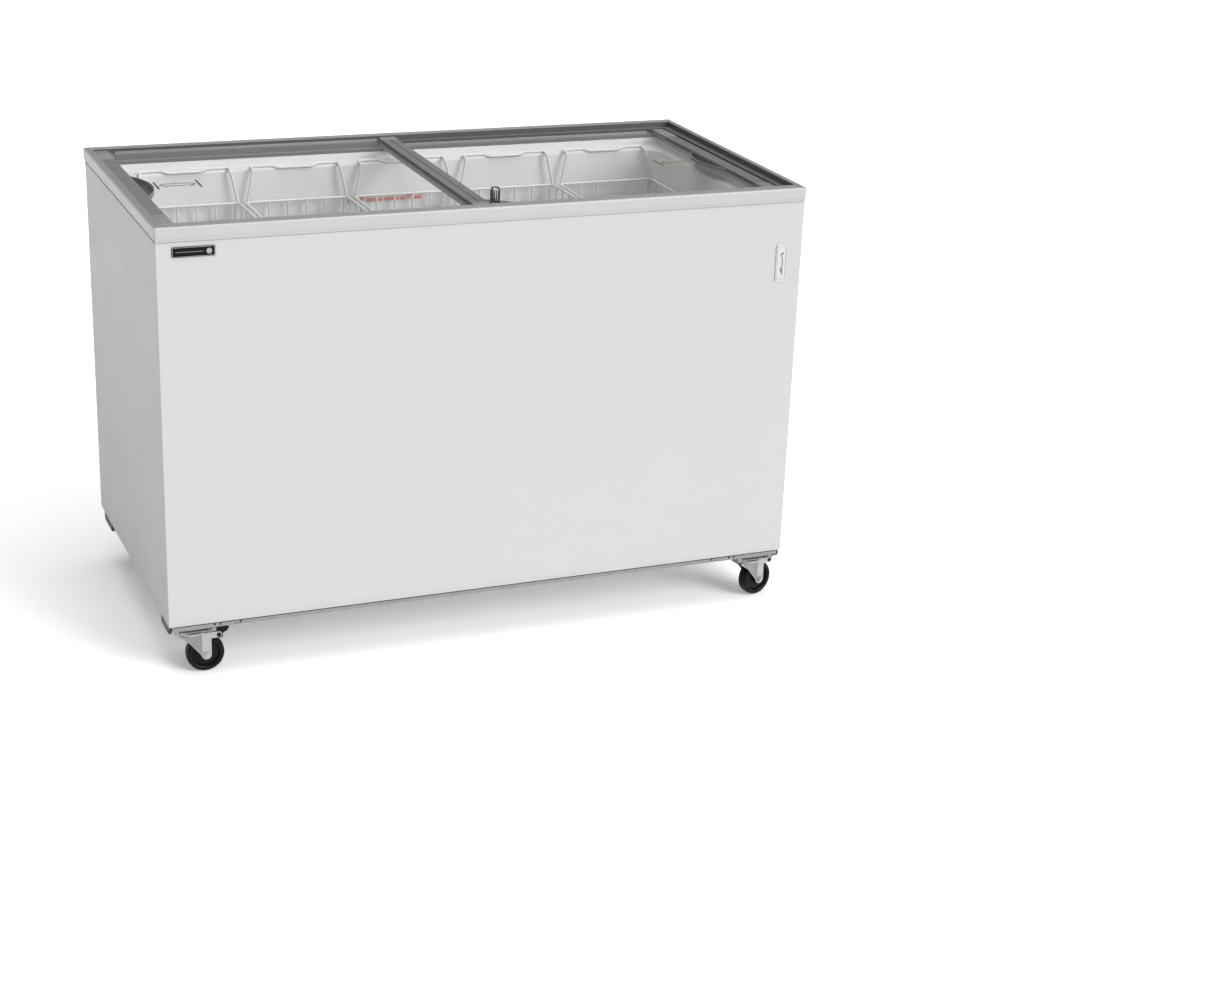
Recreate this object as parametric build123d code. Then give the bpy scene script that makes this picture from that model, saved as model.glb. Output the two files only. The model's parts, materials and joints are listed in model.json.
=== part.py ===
"""Chest-type ice cream display freezer with two sliding glass lids, five hanging baskets and casters.

Millimetres. +X runs along the cabinet to its right end, +Y to its back and +Z up.
The origin is on the floor under the middle of the cabinet.
"""
from build123d import *
import os

os.makedirs("parts", exist_ok=True)

# ---------------------------------------------------------------- driving dimensions
WIDTH = 1300.0            # over the top frame
DEPTH = 670.0
HEIGHT = 895.0            # top of the frame above the floor
PANEL_BOTTOM = 118.0      # lower edge of the outer sheets
SHEET = 1.0               # outer sheet thickness
FRAME_OVERHANG = 3.0      # the frame stands this far outside the sheets

# top frame: three stacked rings, each one step further in
FRAME_FACE = 22.0         # height of the frame's outer face
TRACK_STEP = 11.0         # height from one track to the next
SKIRT_DROP = 7.0          # the lowest ring hangs this far inside the sheets
RIM_SIDE = 15.0           # rim width at the left and right ends
RIM_FRONT = 28.0          # rim width at the front and back
UPPER_TRACK_SIDE = 15.0
UPPER_TRACK_FRONT = 8.0
LOWER_TRACK_SIDE = 15.0
LOWER_TRACK_FRONT = 10.0
FRAME_EDGE_RADIUS = 4.0
FRAME_WALL = 3.0

# inner tank
LINER = 1.2               # liner sheet thickness
MOUTH_X = 602.0           # half sizes of the collar under the frame
MOUTH_Y = 286.0
TANK_X = 582.0            # half sizes of the tank below the basket ledge
TANK_Y = 262.0
LEDGE_Z = 850.0           # the baskets hang on this ledge
TANK_FLOOR_Z = 190.0
STEP_X = 345.0            # the tank floor steps up here, over the machine compartment
STEP_Z = 440.0
COIL_GAP = 9.0            # space for the evaporator tube between liner and foam
STEP_FOAM = 54.0          # foam under and beside the step

# lids
LID_CLEARANCE = 0.3       # between a lid's profiles and its track
LIP = 1.0                 # profile lip under the glass
GLASS = 4.0
END_PROFILE = 27.0        # width of the profile at each lid's outer end
GRIP_REACH = 26.0         # the half-moon finger cup bulges this far from the end profile
GRIP_HALF = 84.0
GRIP_DEPTH = 15.5         # from the glass's top face to the cup's underside
GRIP_WALL = 2.0
GRIP_LIP = 1.6            # rim standing over the glass

UPPER_LID_RIGHT = -2.0    # the two lids overlap at the middle of the cabinet
UPPER_MIDDLE_LEFT = -37.0
UPPER_GLASS_RIGHT = -25.0
UPPER_GROOVE_X = -20.0
LOWER_LID_LEFT = -36.0
LOWER_MIDDLE_RIGHT = -19.0
LOWER_GLASS_LEFT = -26.0
LOWER_PROFILE = 8.2       # height of the lower lid's profiles
LID_END_GAP = 1.5         # between a closed lid and the end of its track
LID_SIDE_GAP = 2.0
LID_TRAVEL = 540.0

# lock
LOCK_X = 7.0
LOCK_Y = -292.0
LOCK_BASE = 7.2           # height of the moulded base
LOCK_BARREL_RADIUS = 8.5
LOCK_PLUG_RADIUS = 5.0
LOCK_TOP = 922.0
TONGUE_REACH = 18.5       # from the plug's axis to the tongue's rounded tip
TONGUE_HALF = 5.0
TONGUE = 1.8              # thickness
KEEPER_DEPTH = 4.2        # depth of the pocket and the groove in the front rail's inner wall
KEEPER_LEFT = 6.0         # the pocket's reach to the left and right of the closed lock
KEEPER_RIGHT = 11.4
KEEPER_WALL = 6.6         # wall between the pocket and the long groove

# baskets
BASKET_COUNT = 5
BASKET_PITCH = 231.0
BASKET_WIRE = 3.0
BASKET_HALF_X = 112.0
BASKET_HALF_Y = 247.0
BASKET_RIM_Z = 784.0
BASKET_FLOOR_Z = 565.0
HOOP_WIRE = 5.0
HOOP_TOP_HALF = 95.0
HOOK_Y = 272.0            # the hooks reach this far over the ledge
HOOK_HEIGHT = 4.0
HOOK_GAP = 0.4            # between hook and ledge

# casters
CASTER_X = 595.0
CASTER_Y = 284.0
WHEEL_RADIUS = 37.5
WHEEL_WIDTH = 24.0
CASTER_TRAIL = 25.0
CASTER_PLATE_Z = 95.0     # underside of the caster's top plate
CROWN_Z = 80.0            # underside of the fork's crown
KINGPIN_RADIUS = 5.0
AXLE_RADIUS = 4.0
RUNNING_FIT = 0.05
LEG_HALF = 10.0           # half width of a fork leg
LEG_FACE = 14.5           # from the caster's middle to a leg's inner face
LEG_SHEET = 2.5
PEDAL_PIN = 2.5
PEDAL_X = 50.0
PEDAL_Z = 77.0
PEDAL_HALF = 14.1         # half width of the pedal
BALL_CUP_RADIUS = 24.0
BRACKET_HALF_X = 40.0
BRACKET_HALF_Y = 38.0
BRACKET_SHEET = 2.0
PLATE_THICKNESS = 2.5
PEDAL_REACH = 72.0        # from the swivel axis to the pedal's tip
CASTERS = {               # name: (x sign, y sign, trail direction in degrees, has a brake)
    "front_left": (-1, -1, 0.0, True),
    "front_right": (1, -1, 16.0, True),
    "rear_left": (-1, 1, 12.0, False),
    "rear_right": (1, 1, -18.0, False),
}

SHOE_RUNS = ((-325.0, -257.0), (218.0, 300.0))    # Y spans of the shoes under each side sheet

# base pan
PAN_EDGE_INSET = 3.0      # the turned-down edges stand this far inside the sheets
PAN_EDGE_Z = 107.0
PAN_LIP = 1.5
PAN_FLOOR = 2.0
PAN_NOTCHES = (-518, 500)
PAN_NOTCH_RADIUS = 4.0
PAN_HOLES = (-559, -548, -509, 490, 530, 541)
PAN_HOLE_RADIUS = 2.2
DRAIN_X = -500.0
DRAIN_RADIUS = 11.0

# badge and temperature gauge on the front: x, x, z, z
BADGE = (-619.0, -540.0, 838.0, 857.5)
BEZEL = (591.0, 616.0, 705.0, 782.0)
BEZEL_BORDER_X = 4.0
BEZEL_BORDER_Z = 8.0

# machine compartment
COMPARTMENT_X = STEP_X + LINER + STEP_FOAM
COMPARTMENT_TOP = STEP_Z - LINER - STEP_FOAM
VENT_ROWS = 9
VENT_COLUMNS = 4
VENT_PITCH_Y = 95.0
VENT_PITCH_Z = 18.0
VENT_LENGTH = 76.0
VENT_HEIGHT = 7.0
VENT_Z0 = 170.0
GRILLE_Z0 = 150.0
GRILLE_Z1 = 350.0
GRILLE_RECESS = 14.0      # the grille's plate sits this far inside the back sheet
GLAND_RADIUS = 8.0
GLAND_BORE = 4.0
GLAND_X = 470.0
GLAND_Z = 178.0
KNOB_X = 560.0
COMPRESSOR_X = 515.0
COMPRESSOR_Y = 165.0
COMPRESSOR_RADIUS = 80.0
FOOT_HEIGHT = 16.0
CONDENSER_X0 = 596.0
CONDENSER_X1 = 632.0
CONDENSER_Y0 = -268.0
CONDENSER_Y1 = -50.0
CONDENSER_HEIGHT = 204.0
FIN_COUNT = 24
FIN_PITCH = 9.0
TUBE_ROWS = 6
TUBE_PITCH = 32.0
SHROUD_X0 = 566.0
SHROUD_X1 = 592.0
SHROUD_HALF = 98.0
FAN_OPENING = 86.0
DRYER_X = 440.0

# ---------------------------------------------------------------- derived levels
PANEL_X = WIDTH / 2 - FRAME_OVERHANG
PANEL_Y = DEPTH / 2 - FRAME_OVERHANG
FRAME_BOTTOM = HEIGHT - FRAME_FACE
UPPER_TRACK_Z = HEIGHT - TRACK_STEP
LOWER_TRACK_Z = UPPER_TRACK_Z - TRACK_STEP
SKIRT_Z = FRAME_BOTTOM - SKIRT_DROP
RIM_INNER_X = WIDTH / 2 - RIM_SIDE
RIM_INNER_Y = DEPTH / 2 - RIM_FRONT
UPPER_INNER_X = RIM_INNER_X - UPPER_TRACK_SIDE
UPPER_INNER_Y = RIM_INNER_Y - UPPER_TRACK_FRONT
LOWER_INNER_X = UPPER_INNER_X - LOWER_TRACK_SIDE
LOWER_INNER_Y = UPPER_INNER_Y - LOWER_TRACK_FRONT
UPPER_LID_Z = UPPER_TRACK_Z + LID_CLEARANCE
LOWER_LID_Z = LOWER_TRACK_Z + LID_CLEARANCE
UPPER_LID_LEFT = -RIM_INNER_X + LID_END_GAP
LOWER_LID_RIGHT = UPPER_INNER_X - LID_END_GAP
UPPER_LID_TOP = HEIGHT - 3
HOOK_Z = LEDGE_Z + HOOK_GAP
HOOP_RISE = HOOK_Z + HOOK_HEIGHT - BASKET_RIM_Z + HOOP_WIRE
PAN_TOP = PANEL_BOTTOM + SHEET + PAN_FLOOR
GRILLE_X0 = COMPARTMENT_X + 20
GRILLE_X1 = PANEL_X - 20


# ---------------------------------------------------------------- helpers
def block(x0, x1, y0, y1, z0, z1):
    """A box between two corners."""
    size = Box(abs(x1 - x0), abs(y1 - y0), abs(z1 - z0))
    return Pos((x0 + x1) / 2, (y0 + y1) / 2, (z0 + z1) / 2) * size


def ring(outer_x, outer_y, inner_x, inner_y, z0, z1):
    """A rectangular ring given by half sizes."""
    outer = block(-outer_x, outer_x, -outer_y, outer_y, z0, z1)
    return outer - block(-inner_x, inner_x, -inner_y, inner_y, z0 - 1, z1 + 1)


def rod(radius, start, end):
    """A round bar between two points."""
    line = Vector(*end) - Vector(*start)
    plane = Plane(origin=Vector(*start), z_dir=line)
    return extrude(plane * Circle(radius), line.length)


def solids_of(shapes):
    """A group of solids kept apart in one node."""
    kept = []
    for shape in shapes:
        kept.extend(shape.solids())
    return Compound(kept)


def save(name, shape):
    """Write one node."""
    shape.label = name
    export_step(shape, f"parts/{name}.step")


# ---------------------------------------------------------------- outer sheets
def bottom_fold(side):
    """Return fold along the lower edge of the front or back sheet."""
    return block(-PANEL_X + SHEET, PANEL_X - SHEET, side * (PANEL_Y - 14), side * (PANEL_Y - SHEET),
                 PANEL_BOTTOM, PANEL_BOTTOM + SHEET)


def front_sheet():
    """Front sheet with a folded bottom return."""
    sheet = block(-PANEL_X, PANEL_X, -PANEL_Y, -PANEL_Y + SHEET, PANEL_BOTTOM, FRAME_BOTTOM)
    save("front_panel", sheet + bottom_fold(-1))


def back_sheets():
    """The back: one wide flat sheet and three small ones that leave the grille's cut-out open."""
    outlines = ((-PANEL_X, GRILLE_X0, PANEL_BOTTOM, FRAME_BOTTOM),
                (GRILLE_X1, PANEL_X, PANEL_BOTTOM, FRAME_BOTTOM),
                (GRILLE_X0, GRILLE_X1, PANEL_BOTTOM, GRILLE_Z0),
                (GRILLE_X0, GRILLE_X1, GRILLE_Z1, FRAME_BOTTOM))
    sheets = [block(x0, x1, PANEL_Y - SHEET, PANEL_Y, z0, z1) for x0, x1, z0, z1 in outlines]
    save("back_panel", solids_of(sheets + [bottom_fold(1)]))


def side_sheets():
    """Left and right sheets. The right one has rows of ventilation slots over the machine compartment."""
    inner_y = PANEL_Y - SHEET
    for name, side in (("left_panel", -1), ("right_panel", 1)):
        sheet = block(side * (PANEL_X - SHEET), side * PANEL_X, -inner_y, inner_y, PANEL_BOTTOM, FRAME_BOTTOM)
        if side == 1:
            for row in range(VENT_ROWS):
                for column in range(VENT_COLUMNS):
                    y = (column - (VENT_COLUMNS - 1) / 2) * VENT_PITCH_Y
                    z = VENT_Z0 + row * VENT_PITCH_Z
                    slot = Plane.YZ * SlotOverall(VENT_LENGTH, VENT_HEIGHT)
                    sheet -= Pos(PANEL_X - 5, y, z) * extrude(slot, 10)
        save(name, sheet)


def base_pan():
    """Galvanised floor tray. Its front and back edges turn down, with notches and small holes."""
    under_floor = PANEL_BOTTOM + SHEET
    edge_y = PANEL_Y - PAN_EDGE_INSET
    half_x = PANEL_X - 7
    pan = block(-PANEL_X + SHEET, PANEL_X - SHEET, -PANEL_Y + 15, PANEL_Y - 15, under_floor, PAN_TOP)
    for side in (-1, 1):
        pan += block(-half_x, half_x, side * (edge_y - PAN_LIP), side * edge_y, PAN_EDGE_Z, PANEL_BOTTOM)
        pan += block(-half_x, half_x, side * (edge_y - 14), side * (edge_y - PAN_LIP),
                     PANEL_BOTTOM - PAN_LIP, PANEL_BOTTOM)
        pan += block(-half_x, half_x, side * (edge_y - 16), side * (edge_y - 14),
                     PANEL_BOTTOM - PAN_LIP, PAN_TOP)
        inner_y, outer_y = side * (edge_y - 3), side * (edge_y + 1)
        for x in PAN_NOTCHES:
            pan -= rod(PAN_NOTCH_RADIUS, (x, inner_y, PAN_EDGE_Z), (x, outer_y, PAN_EDGE_Z))
        hole_z = (PAN_EDGE_Z + PANEL_BOTTOM) / 2
        for x in PAN_HOLES:
            pan -= rod(PAN_HOLE_RADIUS, (x, inner_y, hole_z), (x, outer_y, hole_z))
    pan -= rod(DRAIN_RADIUS, (DRAIN_X, 0, 100), (DRAIN_X, 0, 130))
    save("base_pan", pan)


# ---------------------------------------------------------------- tank, foam and evaporator
def liner():
    """The tank's folded sheets: collar, basket ledge, walls, floor and the step at the right end."""
    sheets = []
    under_ledge = LEDGE_Z - LINER
    for side in (-1, 1):
        # collar between the frame and the ledge
        sheets.append(block(-MOUTH_X - LINER, MOUTH_X + LINER, side * MOUTH_Y, side * (MOUTH_Y + LINER),
                            LEDGE_Z, SKIRT_Z))
        sheets.append(block(side * MOUTH_X, side * (MOUTH_X + LINER), -MOUTH_Y, MOUTH_Y, LEDGE_Z, SKIRT_Z))
        # ledge
        sheets.append(block(-MOUTH_X - LINER, MOUTH_X + LINER, side * TANK_Y, side * (MOUTH_Y + LINER),
                            under_ledge, LEDGE_Z))
        sheets.append(block(side * TANK_X, side * (MOUTH_X + LINER), -TANK_Y, TANK_Y, under_ledge, LEDGE_Z))
        # long walls, in two heights because of the step
        sheets.append(block(-TANK_X - LINER, TANK_X + LINER, side * TANK_Y, side * (TANK_Y + LINER),
                            STEP_Z, under_ledge))
        sheets.append(block(-TANK_X - LINER, STEP_X, side * TANK_Y, side * (TANK_Y + LINER),
                            TANK_FLOOR_Z, STEP_Z))
    sheets.append(block(-TANK_X - LINER, -TANK_X, -TANK_Y, TANK_Y, TANK_FLOOR_Z, under_ledge))
    sheets.append(block(TANK_X, TANK_X + LINER, -TANK_Y, TANK_Y, STEP_Z, under_ledge))
    floor = block(-TANK_X - LINER, STEP_X + LINER, -TANK_Y - LINER, TANK_Y + LINER,
                  TANK_FLOOR_Z - LINER, TANK_FLOOR_Z)
    floor -= rod(DRAIN_RADIUS, (DRAIN_X, 0, 180), (DRAIN_X, 0, 200))
    sheets.append(floor)
    sheets.append(block(STEP_X, STEP_X + LINER, -TANK_Y - LINER, TANK_Y + LINER,
                        TANK_FLOOR_Z, STEP_Z - LINER))
    sheets.append(block(STEP_X, TANK_X + LINER, -TANK_Y - LINER, TANK_Y + LINER, STEP_Z - LINER, STEP_Z))
    save("inner_liner", solids_of(sheets))


def foam():
    """Foamed insulation between the outer sheets and the liner, with the machine compartment left free."""
    outer_x = PANEL_X - SHEET
    outer_y = PANEL_Y - SHEET
    body = block(-outer_x, outer_x, -outer_y, outer_y, PAN_TOP, SKIRT_Z)
    body -= block(-MOUTH_X - LINER, MOUTH_X + LINER, -MOUTH_Y - LINER, MOUTH_Y + LINER,
                  LEDGE_Z - LINER, SKIRT_Z + 1)
    gap_x = TANK_X + LINER + COIL_GAP
    gap_y = TANK_Y + LINER + COIL_GAP
    body -= block(-gap_x, gap_x, -gap_y, gap_y, STEP_Z, LEDGE_Z - LINER)
    body -= block(-gap_x, STEP_X + LINER, -gap_y, gap_y, TANK_FLOOR_Z - LINER, STEP_Z)
    body -= block(STEP_X + LINER - 1, gap_x, -gap_y, gap_y, STEP_Z - LINER, STEP_Z)
    body -= block(COMPARTMENT_X, outer_x + 1, -outer_y - 1, outer_y + 1, 100, COMPARTMENT_TOP)
    body -= rod(DRAIN_RADIUS, (DRAIN_X, 0, 100), (DRAIN_X, 0, 200))
    save("foam_insulation", body)


def evaporator():
    """Tube loops round the upper tank walls, joined by short risers at the back."""
    radius = 3.5
    half_x = TANK_X + LINER + COIL_GAP / 2
    half_y = TANK_Y + LINER + COIL_GAP / 2
    levels = [500 + 50 * i for i in range(7)]
    coil = None
    for level in levels:
        path = Pos(0, 0, level) * RectangleRounded(2 * half_x, 2 * half_y, 5).wire()
        start = Plane(origin=(0, -half_y, level), x_dir=(0, 1, 0), z_dir=(1, 0, 0))
        loop = sweep(start * Circle(radius), path=path)
        coil = loop if coil is None else coil + loop
    for index, level in enumerate(levels[:-1]):
        x = -200 if index % 2 else 200
        coil += rod(radius * 0.8, (x, half_y, level), (x, half_y, level + 50))
    save("evaporator_coil", coil)


def drain():
    """Drain tube through the floor and its pull-out rubber plug."""
    bore = DRAIN_RADIUS - 2
    tube = rod(DRAIN_RADIUS, (DRAIN_X, 0, 104), (DRAIN_X, 0, TANK_FLOOR_Z))
    tube -= rod(bore, (DRAIN_X, 0, 100), (DRAIN_X, 0, TANK_FLOOR_Z + 1))
    save("drain_tube", tube)
    plug = rod(bore - RUNNING_FIT, (DRAIN_X, 0, TANK_FLOOR_Z - 14), (DRAIN_X, 0, TANK_FLOOR_Z + 0.3))
    plug += rod(15, (DRAIN_X, 0, TANK_FLOOR_Z + 0.3), (DRAIN_X, 0, TANK_FLOOR_Z + 5))
    plug += block(DRAIN_X - 2, DRAIN_X + 2, -9, 9, TANK_FLOOR_Z + 5, TANK_FLOOR_Z + 16)
    save("drain_plug", plug)


# ---------------------------------------------------------------- top frame
def frame_rails():
    """Four mitred rails with two slide tracks, cut from one stepped ring."""
    half_x = WIDTH / 2
    half_y = DEPTH / 2
    face = ring(half_x, half_y, RIM_INNER_X, RIM_INNER_Y, UPPER_TRACK_Z, HEIGHT)
    face += ring(half_x, half_y, UPPER_INNER_X, UPPER_INNER_Y, LOWER_TRACK_Z, UPPER_TRACK_Z)
    corners = face.edges().filter_by(Axis.Z).group_by(lambda edge: round(abs(edge.center().X)))[-1]
    face = fillet(corners, 5)
    outer_top = [edge for edge in face.edges().group_by(Axis.Z)[-1]
                 if abs(edge.center().X) > RIM_INNER_X + 5 or abs(edge.center().Y) > RIM_INNER_Y + 5]
    face = fillet(outer_top, FRAME_EDGE_RADIUS)
    skirt = ring(PANEL_X - SHEET, PANEL_Y - SHEET, LOWER_INNER_X, LOWER_INNER_Y, SKIRT_Z, LOWER_TRACK_Z)
    whole = face + skirt
    whole -= ring(PANEL_X - SHEET - FRAME_WALL, PANEL_Y - SHEET - FRAME_WALL,
                  UPPER_INNER_X + FRAME_WALL, UPPER_INNER_Y + FRAME_WALL,
                  SKIRT_Z + FRAME_WALL, UPPER_TRACK_Z - FRAME_WALL)
    # pocket that holds the lock's tongue, and a groove that it runs in while the lid is open
    pocket_end = LOCK_X + KEEPER_RIGHT
    groove_end = LOCK_X + LID_TRAVEL + KEEPER_RIGHT
    for x0, x1 in ((LOCK_X - KEEPER_LEFT, pocket_end), (pocket_end + KEEPER_WALL, groove_end)):
        whole -= block(x0, x1, -RIM_INNER_Y - KEEPER_DEPTH, -RIM_INNER_Y + 1,
                       UPPER_TRACK_Z, UPPER_TRACK_Z + 4)
    for sign_x, sign_y, name in ((0, -1, "front"), (0, 1, "back"), (-1, 0, "left"), (1, 0, "right")):
        if sign_x == 0:
            outline = Polyline((-half_x - 1, sign_y * (half_y + 1)), (half_x + 1, sign_y * (half_y + 1)),
                               (half_x - half_y, 0), (half_y - half_x, 0), close=True)
        else:
            outline = Polyline((sign_x * (half_x + 1), -half_y - 1), (sign_x * (half_x + 1), half_y + 1),
                               (sign_x * (half_x - half_y), 0), close=True)
        wedge = Pos(0, 0, SKIRT_Z - 1) * extrude(make_face(outline), HEIGHT - SKIRT_Z + 2)
        rail = whole & wedge
        if sign_x != 0:
            # fine grip lines along the rim
            for offset in (5.5, 8.5, 11.5):
                x = sign_x * (half_x - offset)
                rail -= block(x - 0.5, x + 0.5, -half_y + offset, half_y - offset, HEIGHT - 0.5, HEIGHT + 1)
        save(f"frame_rail_{name}", rail)


# ---------------------------------------------------------------- lids
def half_moon(face_x, direction, reach, half, z0, z1):
    """A prism between a straight side at face_x and an arc that bulges from it."""
    outline = Line((face_x, -half), (face_x, half))
    outline += ThreePointArc((face_x, half), (face_x + direction * reach, 0), (face_x, -half))
    return Pos(0, 0, z0) * extrude(make_face(outline), z1 - z0)


def lid(prefix, base_z, glass_span, half_y, end_span, mid_span, top_z, groove_x, grip_side):
    """Glass pane with a notch for the grip, end profile, middle profile and grip of one sliding lid."""
    glass_z0 = base_z + LIP
    glass_z1 = glass_z0 + GLASS
    pane = block(*glass_span, -half_y + 0.5, half_y - 0.5, glass_z0, glass_z1)
    grip_x, direction = grip_side
    notch = half_moon(grip_x, direction, GRIP_REACH, GRIP_HALF, glass_z0 - 1, glass_z1 + 1)
    save(f"{prefix}_lid_glass", pane - notch)
    cup_z = glass_z1 - GRIP_DEPTH
    cup = half_moon(grip_x, direction, GRIP_REACH, GRIP_HALF, cup_z, glass_z1 + GRIP_LIP)
    cup -= half_moon(grip_x + direction * GRIP_WALL, direction, GRIP_REACH - 2 * GRIP_WALL,
                     GRIP_HALF - 10, cup_z + GRIP_WALL, glass_z1 + GRIP_LIP + 1)
    save(f"{prefix}_lid_grip", cup)
    end = block(*end_span, -half_y, half_y, base_z, top_z)
    end = fillet(end.edges().filter_by(Axis.Y).group_by(Axis.Z)[-1], 1.5)
    save(f"{prefix}_lid_end_profile", end - pane)
    middle = block(*mid_span, -half_y, half_y, base_z, top_z)
    middle = fillet(middle.edges().filter_by(Axis.Y).group_by(Axis.Z)[-1], 1.2)
    if groove_x is not None:
        middle -= block(groove_x - 0.9, groove_x + 0.9, -half_y - 1, half_y + 1, top_z - 1.6, top_z + 1)
    save(f"{prefix}_lid_middle_profile", middle - pane)


def lids():
    """The upper lid covers the left half, the lower lid the right half."""
    upper_inner = UPPER_LID_LEFT + END_PROFILE
    lower_inner = LOWER_LID_RIGHT - END_PROFILE
    lid("upper", UPPER_LID_Z, (UPPER_LID_LEFT + 2, UPPER_GLASS_RIGHT), RIM_INNER_Y - LID_SIDE_GAP,
        (UPPER_LID_LEFT, upper_inner), (UPPER_MIDDLE_LEFT, UPPER_LID_RIGHT), UPPER_LID_TOP,
        UPPER_GROOVE_X, (upper_inner, 1))
    lid("lower", LOWER_LID_Z, (LOWER_GLASS_LEFT, LOWER_LID_RIGHT - 2), UPPER_INNER_Y - LID_SIDE_GAP,
        (lower_inner, LOWER_LID_RIGHT), (LOWER_LID_LEFT, LOWER_MIDDLE_RIGHT), LOWER_LID_Z + LOWER_PROFILE,
        None, (lower_inner, -1))


def lock_axis(z):
    """Point on the lock's axis at a height."""
    return (LOCK_X, LOCK_Y, z)


def lock():
    """Moulded lock base on the upper lid, chrome barrel, and the turning plug with its tongue."""
    base_z = UPPER_LID_Z
    base_top = base_z + LOCK_BASE
    plug_bore = LOCK_PLUG_RADIUS + RUNNING_FIT
    left = UPPER_LID_RIGHT + 0.1
    outline = Polyline((left, -301), (44, -301), (44, -290), (30, -276), (left, -258), close=True)
    base = Pos(0, 0, base_z) * extrude(make_face(outline), LOCK_BASE)
    base = fillet(base.edges().group_by(Axis.Z)[-1], 1.5)
    base -= Pos(LOCK_X, LOCK_Y, base_z - 1) * extrude(Circle(TONGUE_REACH + 1), TONGUE + 1.8)
    base -= rod(plug_bore, lock_axis(base_z), lock_axis(base_top + 1))
    base += block(left, left + 2.4, -270, -262, base_z, base_top)
    save("lock_base", base)
    barrel = rod(LOCK_BARREL_RADIUS, lock_axis(base_top), lock_axis(LOCK_TOP))
    barrel = chamfer(barrel.edges().group_by(Axis.Z)[-1], 1.2)
    barrel -= rod(plug_bore, lock_axis(base_top - 1), lock_axis(LOCK_TOP + 1))
    save("lock_barrel", barrel)
    tongue_z = base_z + 0.4
    plug = rod(LOCK_PLUG_RADIUS, lock_axis(tongue_z), lock_axis(LOCK_TOP - 0.8))
    plug -= block(LOCK_X - 0.7, LOCK_X + 0.7, LOCK_Y - 3.6, LOCK_Y + 3.6, LOCK_TOP - 12, LOCK_TOP)
    tongue = block(LOCK_X - 1, LOCK_X + TONGUE_REACH + 1, LOCK_Y - TONGUE_HALF, LOCK_Y + TONGUE_HALF,
                   tongue_z, tongue_z + TONGUE)
    plug += tongue & rod(TONGUE_REACH, lock_axis(tongue_z - 1), lock_axis(tongue_z + TONGUE + 1))
    save("lock_plug", plug)


# ---------------------------------------------------------------- baskets
def wire_grid(width, height, columns, rows, wire, thickness):
    """A flat welded grid centred on the origin, in the XY plane."""
    grid = Rectangle(width, height)
    hole_x = (width - wire * (columns + 1)) / columns
    hole_y = (height - wire * (rows + 1)) / rows
    grid -= GridLocations(hole_x + wire, hole_y + wire, columns, rows) * Rectangle(hole_x, hole_y)
    return extrude(grid, thickness)


def basket_solids():
    """One basket at the middle of the tank: five wire grids and a hanging hoop at each end."""
    wire = BASKET_WIRE
    height = BASKET_RIM_Z - BASKET_FLOOR_Z
    middle_z = (BASKET_RIM_Z + BASKET_FLOOR_Z) / 2
    inner_x = BASKET_HALF_X - wire
    inner_y = BASKET_HALF_Y - wire
    # the crossing wires of the floor lie one on the other, so its grid is two wires thick
    pieces = [Pos(0, 0, BASKET_FLOOR_Z) * wire_grid(2 * inner_x, 2 * inner_y, 5, 12, wire, 2 * wire)]
    long_wall = wire_grid(2 * inner_y, height, 13, 4, wire, wire)
    end_wall = wire_grid(2 * BASKET_HALF_X, height, 6, 4, wire, wire)
    hoop_outline = Polyline((-BASKET_HALF_X, 0), (BASKET_HALF_X, 0), (HOOP_TOP_HALF, HOOP_RISE),
                            (-HOOP_TOP_HALF, HOOP_RISE), close=True)
    hoop = make_face(hoop_outline)
    hoop -= offset(hoop, -HOOP_WIRE)
    hoop = extrude(hoop, wire)
    for side in (-1, 1):
        wall_plane = Plane(origin=(side * inner_x, 0, middle_z), x_dir=(0, side, 0), z_dir=(side, 0, 0))
        pieces.append(wall_plane * long_wall)
        end_plane = Plane(origin=(0, side * inner_y, middle_z), x_dir=(-side, 0, 0), z_dir=(0, side, 0))
        pieces.append(end_plane * end_wall)
        hoop_plane = Plane(origin=(0, side * BASKET_HALF_Y, BASKET_RIM_Z - HOOP_WIRE),
                           x_dir=(-side, 0, 0), z_dir=(0, side, 0))
        pieces.append(hoop_plane * hoop)
        hook = block(-HOOP_TOP_HALF, HOOP_TOP_HALF, side * (BASKET_HALF_Y + wire), side * HOOK_Y,
                     HOOK_Z, HOOK_Z + HOOK_HEIGHT)
        hook -= block(-HOOP_TOP_HALF + HOOP_WIRE, HOOP_TOP_HALF - HOOP_WIRE,
                      side * (BASKET_HALF_Y + wire - 1), side * (HOOK_Y - HOOP_WIRE), HOOK_Z - 1, HOOK_Z + 5)
        pieces.append(hook)
    return pieces


def baskets():
    """Five equal baskets side by side."""
    pieces = basket_solids()
    for index in range(BASKET_COUNT):
        x = (index - (BASKET_COUNT - 1) / 2) * BASKET_PITCH
        save(f"basket_{index + 1}", solids_of([Pos(x, 0, 0) * piece for piece in pieces]))


# ---------------------------------------------------------------- casters
def caster_place(name):
    """Location of a caster's swivel axis on the floor, turned to its trail direction."""
    sign_x, sign_y, turn, _ = CASTERS[name]
    return Pos(sign_x * CASTER_X, sign_y * CASTER_Y, 0) * Rot(0, 0, turn)


def fork_leg_outline(braked):
    """Side outline of a fork leg: a straight leg, a web running back to the crown, an ear for the pedal."""
    top = CROWN_Z + 4
    front = CASTER_TRAIL + LEG_HALF
    back = CASTER_TRAIL - LEG_HALF
    if braked:
        nose = [(PEDAL_X, top - 0.5), (PEDAL_X, PEDAL_Z - 6), (front, PEDAL_Z - 6)]
    else:
        nose = [(front, top)]
    edge = Polyline((-28, top), *nose, (front, WHEEL_RADIUS), (back, WHEEL_RADIUS),
                    (-8, 66), (-28, CROWN_Z), close=True)
    return make_face(edge)


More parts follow.
